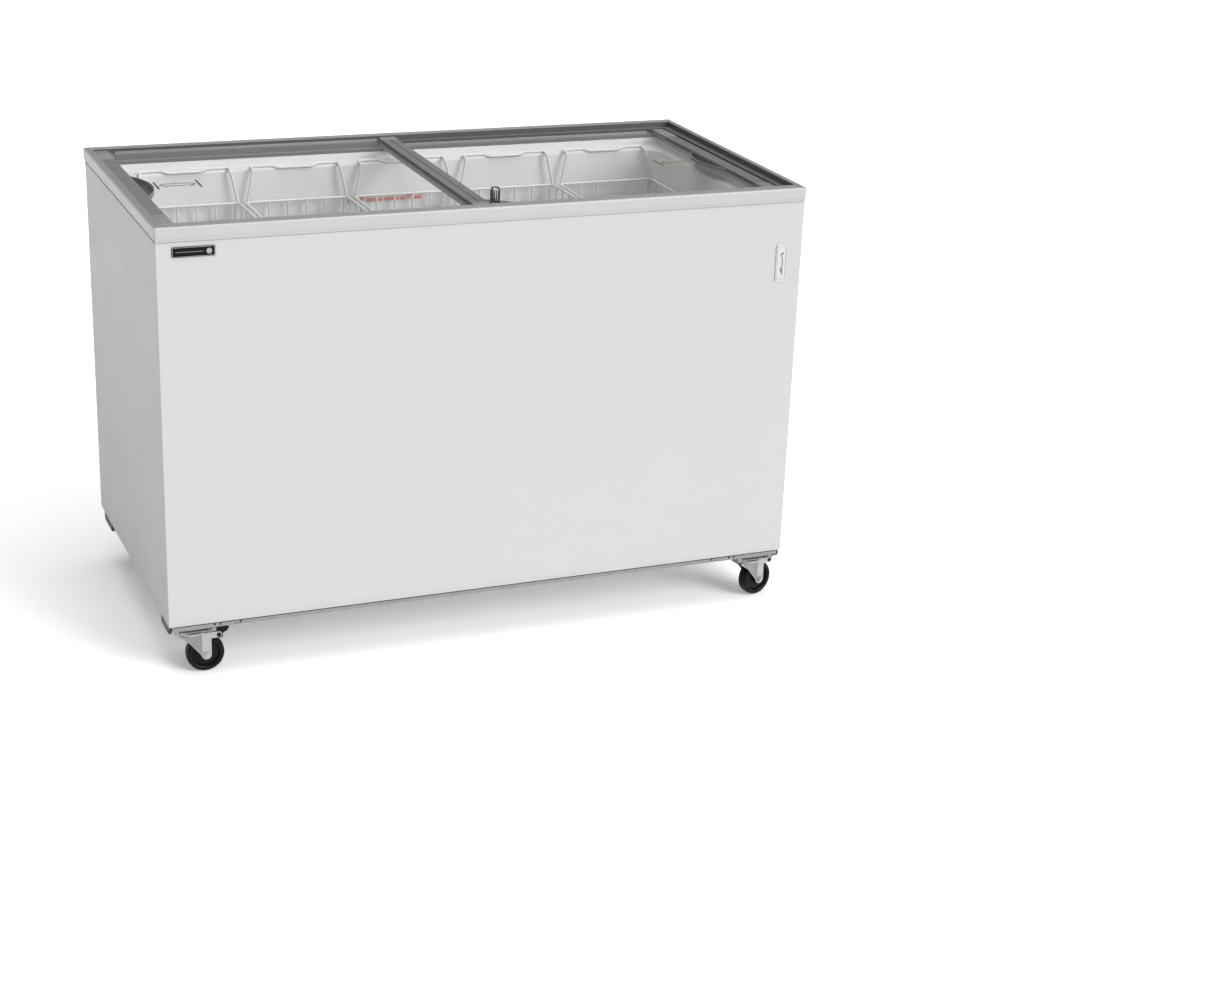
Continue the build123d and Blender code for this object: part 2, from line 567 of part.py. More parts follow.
def fork(braked):
    """Pressed zinc fork: a bowl-shaped crown holding the lower ball race, and two flat legs."""
    bore = KINGPIN_RADIUS + RUNNING_FIT
    top = CASTER_PLATE_Z - 5
    bowl = Polyline((bore, CROWN_Z), (20, CROWN_Z), (27, CROWN_Z + 3.5), (31, top), (29, top),
                    (25.5, CROWN_Z + 5.5), (22, CROWN_Z + 3.5), (22, top), (bore, top), close=True)
    shape = revolve(Plane.XZ * make_face(bowl), Axis.Z)
    for side in (-1, 1):
        plane = Plane(origin=(0, side * LEG_FACE, 0), x_dir=(1, 0, 0), z_dir=(0, -1, 0))
        sheet = -side * LEG_SHEET
        shape += extrude(plane * fork_leg_outline(braked), sheet)
        shape += extrude(plane * Pos(CASTER_TRAIL, WHEEL_RADIUS) * Circle(LEG_HALF), sheet)
        if braked:
            shape += extrude(plane * Pos(PEDAL_X, PEDAL_Z) * Circle(6.5), sheet)
    shape -= rod(AXLE_RADIUS, (CASTER_TRAIL, -20, WHEEL_RADIUS), (CASTER_TRAIL, 20, WHEEL_RADIUS))
    if braked:
        shape -= rod(PEDAL_PIN, (PEDAL_X, -20, PEDAL_Z), (PEDAL_X, 20, PEDAL_Z))
    return shape


def wheel():
    """Moulded wheel with dished sides and a hub."""
    half = WHEEL_WIDTH / 2
    profile = Polyline((AXLE_RADIUS + RUNNING_FIT, -14), (11, -14), (12, -8), (25, -7), (27, -half + 1),
                       (29, -half), (WHEEL_RADIUS - 4, -half), (WHEEL_RADIUS - 1, -half + 3),
                       (WHEEL_RADIUS, 0), (WHEEL_RADIUS - 1, half - 3), (WHEEL_RADIUS - 4, half),
                       (29, half), (27, half - 1), (25, 7), (12, 8), (11, 14),
                       (AXLE_RADIUS + RUNNING_FIT, 14), close=True)
    body = revolve(make_face(profile), Axis.Y)
    return Pos(CASTER_TRAIL, 0, WHEEL_RADIUS) * body


def axle():
    """Axle bolt with a hexagon head and a nut, clamped to the fork's legs."""
    centre = Pos(CASTER_TRAIL, 0, WHEEL_RADIUS)
    bolt = rod(AXLE_RADIUS, (0, -22.5, 0), (0, 21.5, 0))
    hexagon = Plane(origin=(0, 17, 0), x_dir=(1, 0, 0), z_dir=(0, 1, 0)) * RegularPolygon(6.5, 6)
    nut = Plane(origin=(0, -17, 0), x_dir=(1, 0, 0), z_dir=(0, -1, 0)) * RegularPolygon(6.5, 6)
    return centre * (bolt + extrude(hexagon, 4.5) + extrude(nut, 4.0))


def pedal():
    """Brake pedal between the fork's ears: pivot pin, shoe above the tread and a wedge-shaped foot pad."""
    side = Polyline((41, 87), (50, 90), (PEDAL_REACH - 3, 91.2), (PEDAL_REACH, 87), (PEDAL_REACH - 4, 83.5),
                    (59, 78.5), (58, 70), (55, 68.5), (49.5, 68), (45, 73.5), (41, 77), close=True)
    half = PEDAL_HALF
    plane = Plane(origin=(0, half, 0), x_dir=(1, 0, 0), z_dir=(0, -1, 0))
    body = extrude(plane * make_face(side), 2 * half)
    for y in (-1, 1):
        corner = Polyline((PEDAL_REACH - 6, y * (half + 1)), (PEDAL_REACH + 1, y * (half + 1)),
                          (PEDAL_REACH + 1, y * (half - 6)), close=True)
        body -= Pos(0, 0, 60) * extrude(make_face(corner), 40)
    body += rod(PEDAL_PIN - RUNNING_FIT, (PEDAL_X, -18.5, PEDAL_Z), (PEDAL_X, 18.5, PEDAL_Z))
    for y in (-1, 1):
        body += rod(4.2, (PEDAL_X, y * 17.3, PEDAL_Z), (PEDAL_X, y * 19, PEDAL_Z))
    return body


def casters():
    """Forks, wheels, axles and brake pedals of the four casters."""
    for name in CASTERS:
        place = caster_place(name)
        braked = CASTERS[name][3]
        save(f"caster_fork_{name}", place * fork(braked))
        save(f"caster_wheel_{name}", place * wheel())
        save(f"caster_axle_{name}", place * axle())
        if braked:
            save(f"brake_pedal_{name}", place * pedal())


def caster_mounts():
    """Folded brackets under the base pan and the casters' top plates with their kingpins."""
    brackets = []
    plates = []
    half_x = BRACKET_HALF_X
    half_y = BRACKET_HALF_Y
    floor = CASTER_PLATE_Z + PLATE_THICKNESS
    top = PANEL_BOTTOM - PAN_LIP
    for sign_x, sign_y, _, _ in CASTERS.values():
        place = Pos(sign_x * CASTER_X, sign_y * CASTER_Y, 0)
        bracket = block(-half_x, half_x, -half_y, half_y, floor, floor + BRACKET_SHEET)
        for side in (-1, 1):
            bracket += block(side * (half_x - BRACKET_SHEET), side * half_x, -half_y, half_y, floor, top)
            for end in (-1, 1):
                bracket += block(side * (half_x - 9), side * half_x, end * (half_y - BRACKET_SHEET),
                                 end * half_y, floor - 2, top)
        bracket -= rod(KINGPIN_RADIUS + 1, (0, 0, floor - 1), (0, 0, floor + 3))
        brackets.append(place * bracket)
        plate = block(-30, 30, -31, 31, CASTER_PLATE_Z, floor)
        plate = fillet(plate.edges().filter_by(Axis.Z), 6)
        plate += rod(BALL_CUP_RADIUS, (0, 0, CASTER_PLATE_Z - 4.5), (0, 0, CASTER_PLATE_Z))
        plate += rod(KINGPIN_RADIUS, (0, 0, CROWN_Z - 2), (0, 0, floor + 3))
        plate += rod(KINGPIN_RADIUS + 3, (0, 0, CROWN_Z - 3.5), (0, 0, CROWN_Z - 0.4))
        plates.append(place * plate)
    save("caster_brackets", solids_of(brackets))
    save("caster_plates", solids_of(plates))


def skids():
    """Black end shoes under the side sheets."""
    shoes = []
    for side in (-1, 1):
        for y0, y1 in SHOE_RUNS:
            shoe = block(side * 640.5, side * (PANEL_X - 0.5), y0, y1, 100, PANEL_BOTTOM)
            shoe = chamfer(shoe.edges().filter_by(Axis.X).group_by(Axis.Z)[0], 5)
            shoes.append(shoe)
    save("side_shoes", solids_of(shoes))


# ---------------------------------------------------------------- badge and thermometer
def front_fittings():
    """Blank badge plate at the upper left and temperature gauge at the upper right of the front."""
    face_y = -PANEL_Y
    x0, x1, z0, z1 = BADGE
    badge = block(x0, x1, face_y - 1.6, face_y, z0, z1)
    save("badge_plate", fillet(badge.edges().filter_by(Axis.Y), 3))
    x0, x1, z0, z1 = BEZEL
    bezel = block(x0, x1, face_y - 2.5, face_y, z0, z1)
    bezel = fillet(bezel.edges().filter_by(Axis.Y), 4)
    bezel = fillet(bezel.edges().group_by(Axis.Y)[0], 1)
    x0, x1 = x0 + BEZEL_BORDER_X, x1 - BEZEL_BORDER_X
    z0, z1 = z0 + BEZEL_BORDER_Z, z1 - BEZEL_BORDER_Z
    save("thermometer_bezel", bezel - block(x0, x1, face_y - 4, face_y - 1.2, z0, z1))
    gap = 0.2
    save("thermometer_gauge", block(x0 + gap, x1 - gap, face_y - 1.9, face_y - 1.2, z0 + gap, z1 - gap))


# ---------------------------------------------------------------- machine compartment
def compressor():
    """Compressor shell on a deck with four rubber feet."""
    feet = []
    for dx in (-75, 75):
        for dy in (-62, 62):
            x = COMPRESSOR_X + dx
            y = COMPRESSOR_Y + dy
            feet.append(rod(11, (x, y, PAN_TOP), (x, y, PAN_TOP + FOOT_HEIGHT)))
    save("compressor_feet", solids_of(feet))
    deck = PAN_TOP + FOOT_HEIGHT
    flatten = (1.0, 0.82, 1.0)
    shell = scale(Sphere(COMPRESSOR_RADIUS), by=flatten)
    band = scale(Cylinder(COMPRESSOR_RADIUS + 2, 14), by=flatten)
    body = Pos(COMPRESSOR_X, COMPRESSOR_Y, deck + 85) * shell
    body += Pos(COMPRESSOR_X, COMPRESSOR_Y, deck + 66) * band
    body += block(COMPRESSOR_X - 90, COMPRESSOR_X + 90, COMPRESSOR_Y - 74, COMPRESSOR_Y + 74, deck, deck + 6)
    stub_x = COMPRESSOR_X - 60
    body += rod(4, (stub_x, COMPRESSOR_Y - 50, deck + 90), (stub_x, COMPRESSOR_Y - 80, deck + 90))
    save("compressor", body)


def condenser_and_fan():
    """Finned condenser behind the right sheet's slots, with the fan that blows through it."""
    x0, x1 = CONDENSER_X0, CONDENSER_X1
    top = PAN_TOP + CONDENSER_HEIGHT
    fins = block(x0, x1, CONDENSER_Y0, CONDENSER_Y0 + 2, PAN_TOP, top)
    fins += block(x0, x1, CONDENSER_Y1 - 2, CONDENSER_Y1, PAN_TOP, top)
    for index in range(FIN_COUNT):
        y = CONDENSER_Y0 + 6 + index * FIN_PITCH
        fins += block(x0, x1, y, y + 1, PAN_TOP + 4, top - 4)
    for row in range(TUBE_ROWS):
        z = PAN_TOP + 22 + row * TUBE_PITCH
        fins += rod(4, ((x0 + x1) / 2, CONDENSER_Y0 + 2, z), ((x0 + x1) / 2, CONDENSER_Y1, z))
    save("condenser", fins)
    y = (CONDENSER_Y0 + CONDENSER_Y1) / 2
    z = PAN_TOP + CONDENSER_HEIGHT / 2
    shroud = block(SHROUD_X0, SHROUD_X1, y - SHROUD_HALF, y + SHROUD_HALF, PAN_TOP, top)
    shroud -= rod(FAN_OPENING, (SHROUD_X0 - 6, y, z), (SHROUD_X1 + 8, y, z))
    shroud += block(SHROUD_X0, SHROUD_X0 + 4, y - SHROUD_HALF, y + SHROUD_HALF, z - 8, z + 8)
    shroud += rod(24, (SHROUD_X0 - 26, y, z), (SHROUD_X0 + 4, y, z))
    save("fan_shroud", shroud)
    rotor = rod(18, (SHROUD_X0 + 5, y, z), (SHROUD_X0 + 20, y, z))
    for blade in range(5):
        paddle = Pos(0, 0, 46) * Rot(0, 0, 12) * Box(1.6, 34, 64)
        rotor += Pos(SHROUD_X0 + 12.5, y, z) * Rot(blade * 72.0, 0, 0) * paddle
    save("fan_rotor", rotor)
    dryer_z = PAN_TOP + 120
    dryer = rod(10, (DRYER_X, -60, dryer_z), (DRYER_X, 60, dryer_z))
    dryer += rod(3, (DRYER_X, -90, dryer_z), (DRYER_X, 90, dryer_z))
    save("filter_dryer", dryer)


def rear_controls():
    """Recessed rear grille with the cord gland and the thermostat."""
    plate_y = PANEL_Y - GRILLE_RECESS
    spindle = 4.2
    grille = block(GRILLE_X0, GRILLE_X1, plate_y - 2, PANEL_Y, GRILLE_Z0, GRILLE_Z1)
    grille -= block(GRILLE_X0 + 2, GRILLE_X1 - 2, plate_y, PANEL_Y + 1, GRILLE_Z0 + 2, GRILLE_Z1 - 2)
    for row in range(8):
        z = GRILLE_Z0 + 62 + row * 18
        grille -= block(GRILLE_X0 + 14, GRILLE_X1 - 14, plate_y - 3, plate_y + 1, z, z + 8)
    grille -= rod(GLAND_RADIUS, (GLAND_X, plate_y - 3, GLAND_Z), (GLAND_X, plate_y + 1, GLAND_Z))
    grille -= rod(spindle, (KNOB_X, plate_y - 3, GLAND_Z), (KNOB_X, plate_y + 1, GLAND_Z))
    save("rear_grille", grille)
    gland = rod(GLAND_RADIUS, (GLAND_X, plate_y - 8, GLAND_Z), (GLAND_X, plate_y, GLAND_Z))
    gland += rod(GLAND_RADIUS + 3, (GLAND_X, plate_y, GLAND_Z), (GLAND_X, plate_y + 8, GLAND_Z))
    gland -= rod(GLAND_BORE, (GLAND_X, plate_y - 9, GLAND_Z), (GLAND_X, plate_y + 9, GLAND_Z))
    save("cord_gland", gland)
    control = block(KNOB_X - 25, KNOB_X + 25, plate_y - 54, plate_y - 2, GLAND_Z - 18, GLAND_Z + 18)
    control -= rod(spindle, (KNOB_X, plate_y - 16, GLAND_Z), (KNOB_X, plate_y - 1, GLAND_Z))
    save("thermostat", control)
    knob_y = plate_y + 0.5
    knob = rod(spindle - RUNNING_FIT, (KNOB_X, plate_y - 14, GLAND_Z), (KNOB_X, knob_y, GLAND_Z))
    knob += rod(14, (KNOB_X, knob_y, GLAND_Z), (KNOB_X, knob_y + 10.5, GLAND_Z))
    knob = chamfer(knob.edges().group_by(Axis.Y)[-1], 1.2)
    knob -= block(KNOB_X - 0.8, KNOB_X + 0.8, knob_y + 9.5, knob_y + 11.5, GLAND_Z + 4, GLAND_Z + 15)
    save("thermostat_knob", knob)


front_sheet()
back_sheets()
side_sheets()
base_pan()
liner()
foam()
evaporator()
drain()
frame_rails()
lids()
lock()
baskets()
casters()
caster_mounts()
skids()
front_fittings()
compressor()
condenser_and_fan()
rear_controls()
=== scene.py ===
"""Looks of the ice cream display freezer: materials, camera, light and the finely shaped pieces.

Everything is in metres, in the frame of the CAD model: +X to the cabinet's right end, +Y to its back.
"""
import json
from math import cos, pi, radians, sin, sqrt, tan

import bmesh
import bpy
from mathutils import Matrix, Vector

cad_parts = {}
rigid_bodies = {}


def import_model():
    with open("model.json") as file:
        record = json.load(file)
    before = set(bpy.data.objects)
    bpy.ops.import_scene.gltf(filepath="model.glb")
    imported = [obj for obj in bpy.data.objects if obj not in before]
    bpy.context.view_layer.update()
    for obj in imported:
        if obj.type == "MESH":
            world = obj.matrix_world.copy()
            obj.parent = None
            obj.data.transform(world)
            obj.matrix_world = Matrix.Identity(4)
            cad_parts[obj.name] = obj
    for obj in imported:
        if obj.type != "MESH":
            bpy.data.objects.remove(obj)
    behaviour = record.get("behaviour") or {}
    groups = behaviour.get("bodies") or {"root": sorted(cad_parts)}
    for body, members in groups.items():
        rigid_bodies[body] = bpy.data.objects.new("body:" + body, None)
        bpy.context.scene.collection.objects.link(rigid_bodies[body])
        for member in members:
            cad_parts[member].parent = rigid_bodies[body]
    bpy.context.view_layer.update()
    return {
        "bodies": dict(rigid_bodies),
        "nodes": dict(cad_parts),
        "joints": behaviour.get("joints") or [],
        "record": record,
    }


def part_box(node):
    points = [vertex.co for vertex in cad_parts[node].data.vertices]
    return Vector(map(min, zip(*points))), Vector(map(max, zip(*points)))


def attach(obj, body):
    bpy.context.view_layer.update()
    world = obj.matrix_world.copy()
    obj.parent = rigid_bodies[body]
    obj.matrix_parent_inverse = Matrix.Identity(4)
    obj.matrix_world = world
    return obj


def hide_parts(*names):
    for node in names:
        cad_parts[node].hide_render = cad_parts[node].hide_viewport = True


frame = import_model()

MM = 0.001
CABINET = "cabinet"


# ---------------------------------------------------------------- camera, light and floor
def make_camera():
    """Camera from the front left, above the lids, held a little off level."""
    yaw, pitch, roll = radians(23.58), radians(21.32), radians(2.34)
    place = (-1.437, -4.187, 1.912)
    forward = Vector((sin(yaw) * cos(pitch), cos(yaw) * cos(pitch), -sin(pitch)))
    level = Vector((cos(yaw), -sin(yaw), 0))
    upright = level.cross(forward)
    right = level * cos(roll) + upright * sin(roll)
    up = upright * cos(roll) - level * sin(roll)
    data = bpy.data.cameras.new("camera")
    data.sensor_width = 36
    data.lens = 66.4
    data.clip_start = 0.05
    data.clip_end = 60
    camera = bpy.data.objects.new("camera", data)
    rotation = Matrix((right, up, -forward)).transposed().to_4x4()
    camera.matrix_world = Matrix.Translation(place) @ rotation
    bpy.context.scene.collection.objects.link(camera)
    bpy.context.scene.camera = camera


def add_sun(name, toward, angle, strength):
    """Broad soft light from far away. toward points at it, angle is its width in degrees."""
    data = bpy.data.lights.new(name, "SUN")
    data.angle = radians(angle)
    data.energy = strength
    light = bpy.data.objects.new(name, data)
    light.rotation_euler = Vector(toward).to_track_quat("Z", "Y").to_euler()
    bpy.context.scene.collection.objects.link(light)


def make_light():
    """Even studio light: a wide overhead, a key from the front right, and a dim room with a pale horizon."""
    bpy.context.scene.view_settings.view_transform = "Standard"
    world = bpy.data.worlds.new("studio")
    bpy.context.scene.world = world
    world.use_nodes = True
    tree = world.node_tree
    height = tree.nodes.new("ShaderNodeSeparateXYZ")
    tree.links.new(tree.nodes.new("ShaderNodeTexCoord").outputs["Generated"], height.inputs["Vector"])
    fade = tree.nodes.new("ShaderNodeMapRange")
    horizon_top, sky_start = 0.05, 0.12
    horizon_strength, sky_strength = 1.05, 0.18
    fade.inputs["From Min"].default_value = horizon_top
    fade.inputs["From Max"].default_value = sky_start
    fade.inputs["To Min"].default_value = horizon_strength
    fade.inputs["To Max"].default_value = sky_strength
    tree.links.new(height.outputs["Z"], fade.inputs["Value"])
    background = tree.nodes["Background"]
    background.inputs["Color"].default_value = (1, 1, 1, 1)
    tree.links.new(fade.outputs["Result"], background.inputs["Strength"])
    add_sun("overhead", (0.05, -0.1, 1), 60, 1.9)
    add_sun("key", (0.50, -0.75, 0.42), 35, 2.9)


def add_tank_light():
    """Small soft panel above the lids that opens up the inside of the tank."""
    data = bpy.data.lights.new("tank_fill", "AREA")
    data.size = 0.9
    data.energy = 3.6
    light = bpy.data.objects.new("tank_fill", data)
    light.location = (-0.15, -0.1, 2.3)
    light.rotation_euler = Vector((-0.5, 0, 1.6)).to_track_quat("Z", "Y").to_euler()
    bpy.context.scene.collection.objects.link(light)


def make_floor():
    """Pale floor with a faint mottle, lit a little from below like a light table. Not part of the object."""
    builder = bmesh.new()
    bmesh.ops.create_grid(builder, x_segments=12, y_segments=12, size=60.0)
    mesh = bpy.data.meshes.new("floor")
    builder.to_mesh(mesh)
    builder.free()
    white = surface("floor_white", (0.95, 0.95, 0.95), 0.85, tone=(3, 0.005), specular=0.1)
    glow = white.node_tree.nodes["Principled BSDF"]
    glow.inputs["Emission Color"].default_value = (1, 1, 1, 1)
    glow.inputs["Emission Strength"].default_value = 0.24
    mesh.materials.append(white)
    floor = bpy.data.objects.new("floor", mesh)
    bpy.context.scene.collection.objects.link(floor)


# ---------------------------------------------------------------- materials
def add_texture(tree, coordinates, kind, scale, stretch=(1, 1, 1), detail=3.0):
    """One procedural texture in object space. Returns its value output."""
    mapping = tree.nodes.new("ShaderNodeMapping")
    mapping.inputs["Scale"].default_value = stretch
    tree.links.new(coordinates, mapping.inputs["Vector"])
    if kind == "wave":
        texture = tree.nodes.new("ShaderNodeTexWave")
        texture.inputs["Distortion"].default_value = 0.6
        texture.inputs["Detail"].default_value = detail
    elif kind == "cells":
        texture = tree.nodes.new("ShaderNodeTexVoronoi")
    else:
        texture = tree.nodes.new("ShaderNodeTexNoise")
        texture.inputs["Detail"].default_value = detail
    texture.inputs["Scale"].default_value = scale
    tree.links.new(mapping.outputs["Vector"], texture.inputs["Vector"])
    return texture.outputs["Distance"] if kind == "cells" else texture.outputs[0]


def map_range(tree, value, low, high):
    """Stretches a texture's middle band to a range."""
    node = tree.nodes.new("ShaderNodeMapRange")
    node.inputs["From Min"].default_value = 0.25
    node.inputs["From Max"].default_value = 0.75
    node.inputs["To Min"].default_value = low
    node.inputs["To Max"].default_value = high
    tree.links.new(value, node.inputs["Value"])
    return node.outputs["Result"]


def mix_colors(tree, factor, first, second):
    """Mixes two colours by a factor. Either colour may be a socket."""
    node = tree.nodes.new("ShaderNodeMix")
    node.data_type = "RGBA"
    tree.links.new(factor, node.inputs["Factor"])
    for socket, value in ((node.inputs[6], first), (node.inputs[7], second)):
        if isinstance(value, tuple):
            socket.default_value = (*value, 1)
        else:
            tree.links.new(value, socket)
    return node.outputs[2]


def surface(name, color, roughness, metallic=0.0, tone=(20, 0.04), tone_stretch=(1, 1, 1), rough_spread=0.08,
            rough_scale=30, bumps=(), grime=None, flecks=None, sheen_coat=0.0, specular=0.5):
    """A Principled material with mottled colour, uneven gloss, fine relief and optional grime.

    tone is (scale, spread) of the colour's mottle. Each bump is (kind, scale, strength[, stretch]).
    grime is (height, reach, colour): a soft soiling below that height. flecks is (scale, colour, amount).
    """
    material = bpy.data.materials.new(name)
    material.use_nodes = True
    tree = material.node_tree
    shader = tree.nodes["Principled BSDF"]
    shader.inputs["Metallic"].default_value = metallic
    shader.inputs["Specular IOR Level"].default_value = specular
    shader.inputs["Coat Weight"].default_value = sheen_coat
    coordinates = tree.nodes.new("ShaderNodeTexCoord").outputs["Object"]
    mottle = map_range(tree, add_texture(tree, coordinates, "noise", tone[0], tone_stretch, 5.0), 0.0, 1.0)
    dark = tuple(c * (1 - tone[1]) for c in color)
    pale = tuple(min(c * (1 + tone[1]), 1.0) for c in color)
    base = mix_colors(tree, mottle, dark, pale)
    if flecks:
        spots = add_texture(tree, coordinates, "noise", flecks[0], detail=1.0)
        ramp = tree.nodes.new("ShaderNodeMapRange")
        ramp.inputs["From Min"].default_value = 1 - flecks[2]
        ramp.inputs["From Max"].default_value = 1 - flecks[2] + 0.06
        tree.links.new(spots, ramp.inputs["Value"])
        base = mix_colors(tree, ramp.outputs["Result"], base, flecks[1])
    if grime:
        height, reach, soil = grime
        parts = tree.nodes.new("ShaderNodeSeparateXYZ")
        tree.links.new(coordinates, parts.inputs["Vector"])
        fade = tree.nodes.new("ShaderNodeMapRange")
        fade.inputs["From Min"].default_value = height + reach
        fade.inputs["From Max"].default_value = height
        tree.links.new(parts.outputs["Z"], fade.inputs["Value"])
        patchy = tree.nodes.new("ShaderNodeMath")
        patchy.operation = "MULTIPLY"
        tree.links.new(fade.outputs["Result"], patchy.inputs[0])
        tree.links.new(map_range(tree, add_texture(tree, coordinates, "noise", 14, detail=6.0), 0.1, 0.6),
                       patchy.inputs[1])
        base = mix_colors(tree, patchy.outputs["Value"], base, soil)
    tree.links.new(base, shader.inputs["Base Color"])
    gloss = add_texture(tree, coordinates, "noise", rough_scale, tone_stretch, 4.0)
    low = max(roughness - rough_spread, 0.02)
    high = min(roughness + rough_spread, 1.0)
    tree.links.new(map_range(tree, gloss, low, high), shader.inputs["Roughness"])
    normal = None
    for bump in bumps:
        kind, scale, strength = bump[:3]
        stretch = bump[3] if len(bump) > 3 else (1, 1, 1)
        node = tree.nodes.new("ShaderNodeBump")
        node.inputs["Strength"].default_value = strength
        node.inputs["Distance"].default_value = 0.0006
        tree.links.new(add_texture(tree, coordinates, kind, scale, stretch, 2.0), node.inputs["Height"])
        if normal is not None:
            tree.links.new(normal, node.inputs["Normal"])
        normal = node.outputs["Normal"]
    if normal is not None:
        tree.links.new(normal, shader.inputs["Normal"])
    return material


def clear_sheet(name, color, low, high, roughness):
    """A thin clear material: its alpha rises at grazing angles, with faint smears."""
    material = surface(name, color, roughness, tone=(6, 0.03), rough_spread=0.02, rough_scale=5,
                       bumps=[("noise", 1.5, 0.004)])
    tree = material.node_tree
    shader = tree.nodes["Principled BSDF"]
    weight = tree.nodes.new("ShaderNodeLayerWeight")
    weight.inputs["Blend"].default_value = 0.25
    fade = tree.nodes.new("ShaderNodeMapRange")
    fade.inputs["To Min"].default_value = low
    fade.inputs["To Max"].default_value = high
    tree.links.new(weight.outputs["Facing"], fade.inputs["Value"])
    tree.links.new(fade.outputs["Result"], shader.inputs["Alpha"])
    return material


def make_materials():
    """One material for each slot of the record, and a few for the small pieces."""
    fine = ("noise", 900, 0.10)
    made = {
        "white_sheet": surface("white_sheet", (0.44, 0.44, 0.44), 0.42, tone=(2.2, 0.012), rough_spread=0.05,
                               rough_scale=9, bumps=[("noise", 420, 0.10), ("noise", 5, 0.03)],
                               grime=(0.112, 0.03, (0.38, 0.375, 0.36)), specular=0.22),
        "galvanised": surface("galvanised", (0.215, 0.217, 0.219), 0.46, metallic=0.25, tone=(55, 0.10),
                              rough_spread=0.12, rough_scale=45, bumps=[("cells", 90, 0.04), fine]),
        "condenser_black": surface("condenser_black", (0.03, 0.03, 0.032), 0.6, bumps=[fine],
                                   flecks=(160, (0.18, 0.17, 0.15), 0.3)),
        "compressor_black": surface("compressor_black", (0.02, 0.02, 0.022), 0.35, tone=(12, 0.3),
                                    bumps=[("noise", 260, 0.15)], sheen_coat=0.2),
        "rubber": surface("rubber", (0.012, 0.012, 0.012), 0.8, tone=(40, 0.25),
                          bumps=[("noise", 700, 0.25)], specular=0.2),
        "white_plastic": surface("white_plastic", (0.49, 0.49, 0.487), 0.35, tone=(30, 0.02),
                                 bumps=[("noise", 800, 0.08)]),
        "liner": surface("liner", (0.535, 0.537, 0.54), 0.5, metallic=0.0, tone=(3, 0.02),
                         tone_stretch=(1, 1, 3), bumps=[("noise", 260, 0.06), ("noise", 4, 0.05)],
                         grime=(0.19, 0.12, (0.55, 0.55, 0.54))),
        "foam": surface("foam", (0.80, 0.72, 0.48), 0.9, tone=(60, 0.12), bumps=[("cells", 350, 0.4)]),
        "aluminium_tube": surface("aluminium_tube", (0.72, 0.73, 0.74), 0.35, metallic=0.95, bumps=[fine]),
        "copper": surface("copper", (0.72, 0.36, 0.20), 0.32, metallic=1.0, tone=(35, 0.25), bumps=[fine]),
        "black_plastic": surface("black_plastic", (0.010, 0.010, 0.011), 0.5, tone=(40, 0.2),
                                 bumps=[("noise", 1200, 0.3)]),
        "frame_grey": frame_plastic(),
        "badge_black": surface("badge_black", (0.004, 0.004, 0.004), 0.45, tone=(60, 0.3),
                               bumps=[("noise", 700, 0.05)], specular=0.10),
        "zinc": surface("zinc", (0.345, 0.345, 0.34), 0.36, metallic=0.30, tone=(45, 0.06), rough_spread=0.08,
                        rough_scale=60, bumps=[("noise", 900, 0.05)]),
        "lid_glass": clear_sheet("lid_glass", (0.62, 0.66, 0.65), 0.015, 0.16, 0.03),
        "lid_profile": surface("lid_profile", (0.155, 0.157, 0.16), 0.42, tone=(8, 0.06),
                               bumps=[("wave", 900, 0.10, (1, 0, 0)), fine]),
        "grip_grey": surface("grip_grey", (0.13, 0.133, 0.137), 0.45, tone=(30, 0.10),
                             bumps=[("noise", 1100, 0.25)]),
        "lock_chrome": surface("lock_chrome", (0.30, 0.30, 0.305), 0.13, metallic=1.0, tone=(60, 0.05),
                               rough_spread=0.06, rough_scale=140, bumps=[("wave", 1500, 0.05, (0, 0, 1))]),
        "basket_wire": surface("basket_wire", (0.60, 0.60, 0.598), 0.42, tone=(30, 0.05),
                               bumps=[("noise", 500, 0.12)]),
        "wheel_black": surface("wheel_black", (0.004, 0.004, 0.004), 0.42, tone=(50, 0.35), rough_spread=0.10,
                               bumps=[("noise", 500, 0.12)], flecks=(300, (0.03, 0.028, 0.026), 0.22),
                               specular=0.13),
        "profile_cap": surface("profile_cap", (0.215, 0.218, 0.22), 0.45, tone=(30, 0.05), bumps=[fine]),
        "mark_white": surface("mark_white", (0.85, 0.85, 0.85), 0.4, tone=(80, 0.03)),
        "mark_red": surface("mark_red", (0.60, 0.11, 0.07), 0.6, tone=(90, 0.10)),
        "mark_orange": surface("mark_orange", (0.85, 0.36, 0.16), 0.5, tone=(90, 0.08)),
        "mark_brown": surface("mark_brown", (0.085, 0.020, 0.013), 0.7, tone=(90, 0.12)),
        # Painted shadow: grey for the shadow curve in the gauge window's recess.
        "gauge_window_shadow_grey": surface("gauge_window_shadow_grey", (0.16, 0.17, 0.155), 0.45, tone=(90, 0.10)),
        "line_grey": surface("line_grey", (0.27, 0.27, 0.27), 0.45, tone=(90, 0.05)),
        "film": clear_sheet("film", (0.66, 0.63, 0.50), 0.05, 0.14, 0.35),
        # Painted shade: darker grey for the flat fork webs, standing in for the shade on their angled faces.
        "web_painted_shade": surface("web_painted_shade", (0.20, 0.20, 0.198), 0.48, metallic=0.1, tone=(30, 0.06),
                            bumps=[fine]),
        "seal_black": surface("seal_black", (0.02, 0.02, 0.02), 0.85, tone=(50, 0.3),
                              bumps=[("noise", 900, 0.4)]),
    }
    return made


def inside(tree, value, limit):
    """1 where the size of a coordinate is below a limit."""
    size = tree.nodes.new("ShaderNodeMath")
    size.operation = "ABSOLUTE"
    tree.links.new(value, size.inputs[0])
    below = tree.nodes.new("ShaderNodeMath")
    below.operation = "LESS_THAN"
    below.inputs[1].default_value = limit
    tree.links.new(size.outputs["Value"], below.inputs[0])
    return below.outputs["Value"]


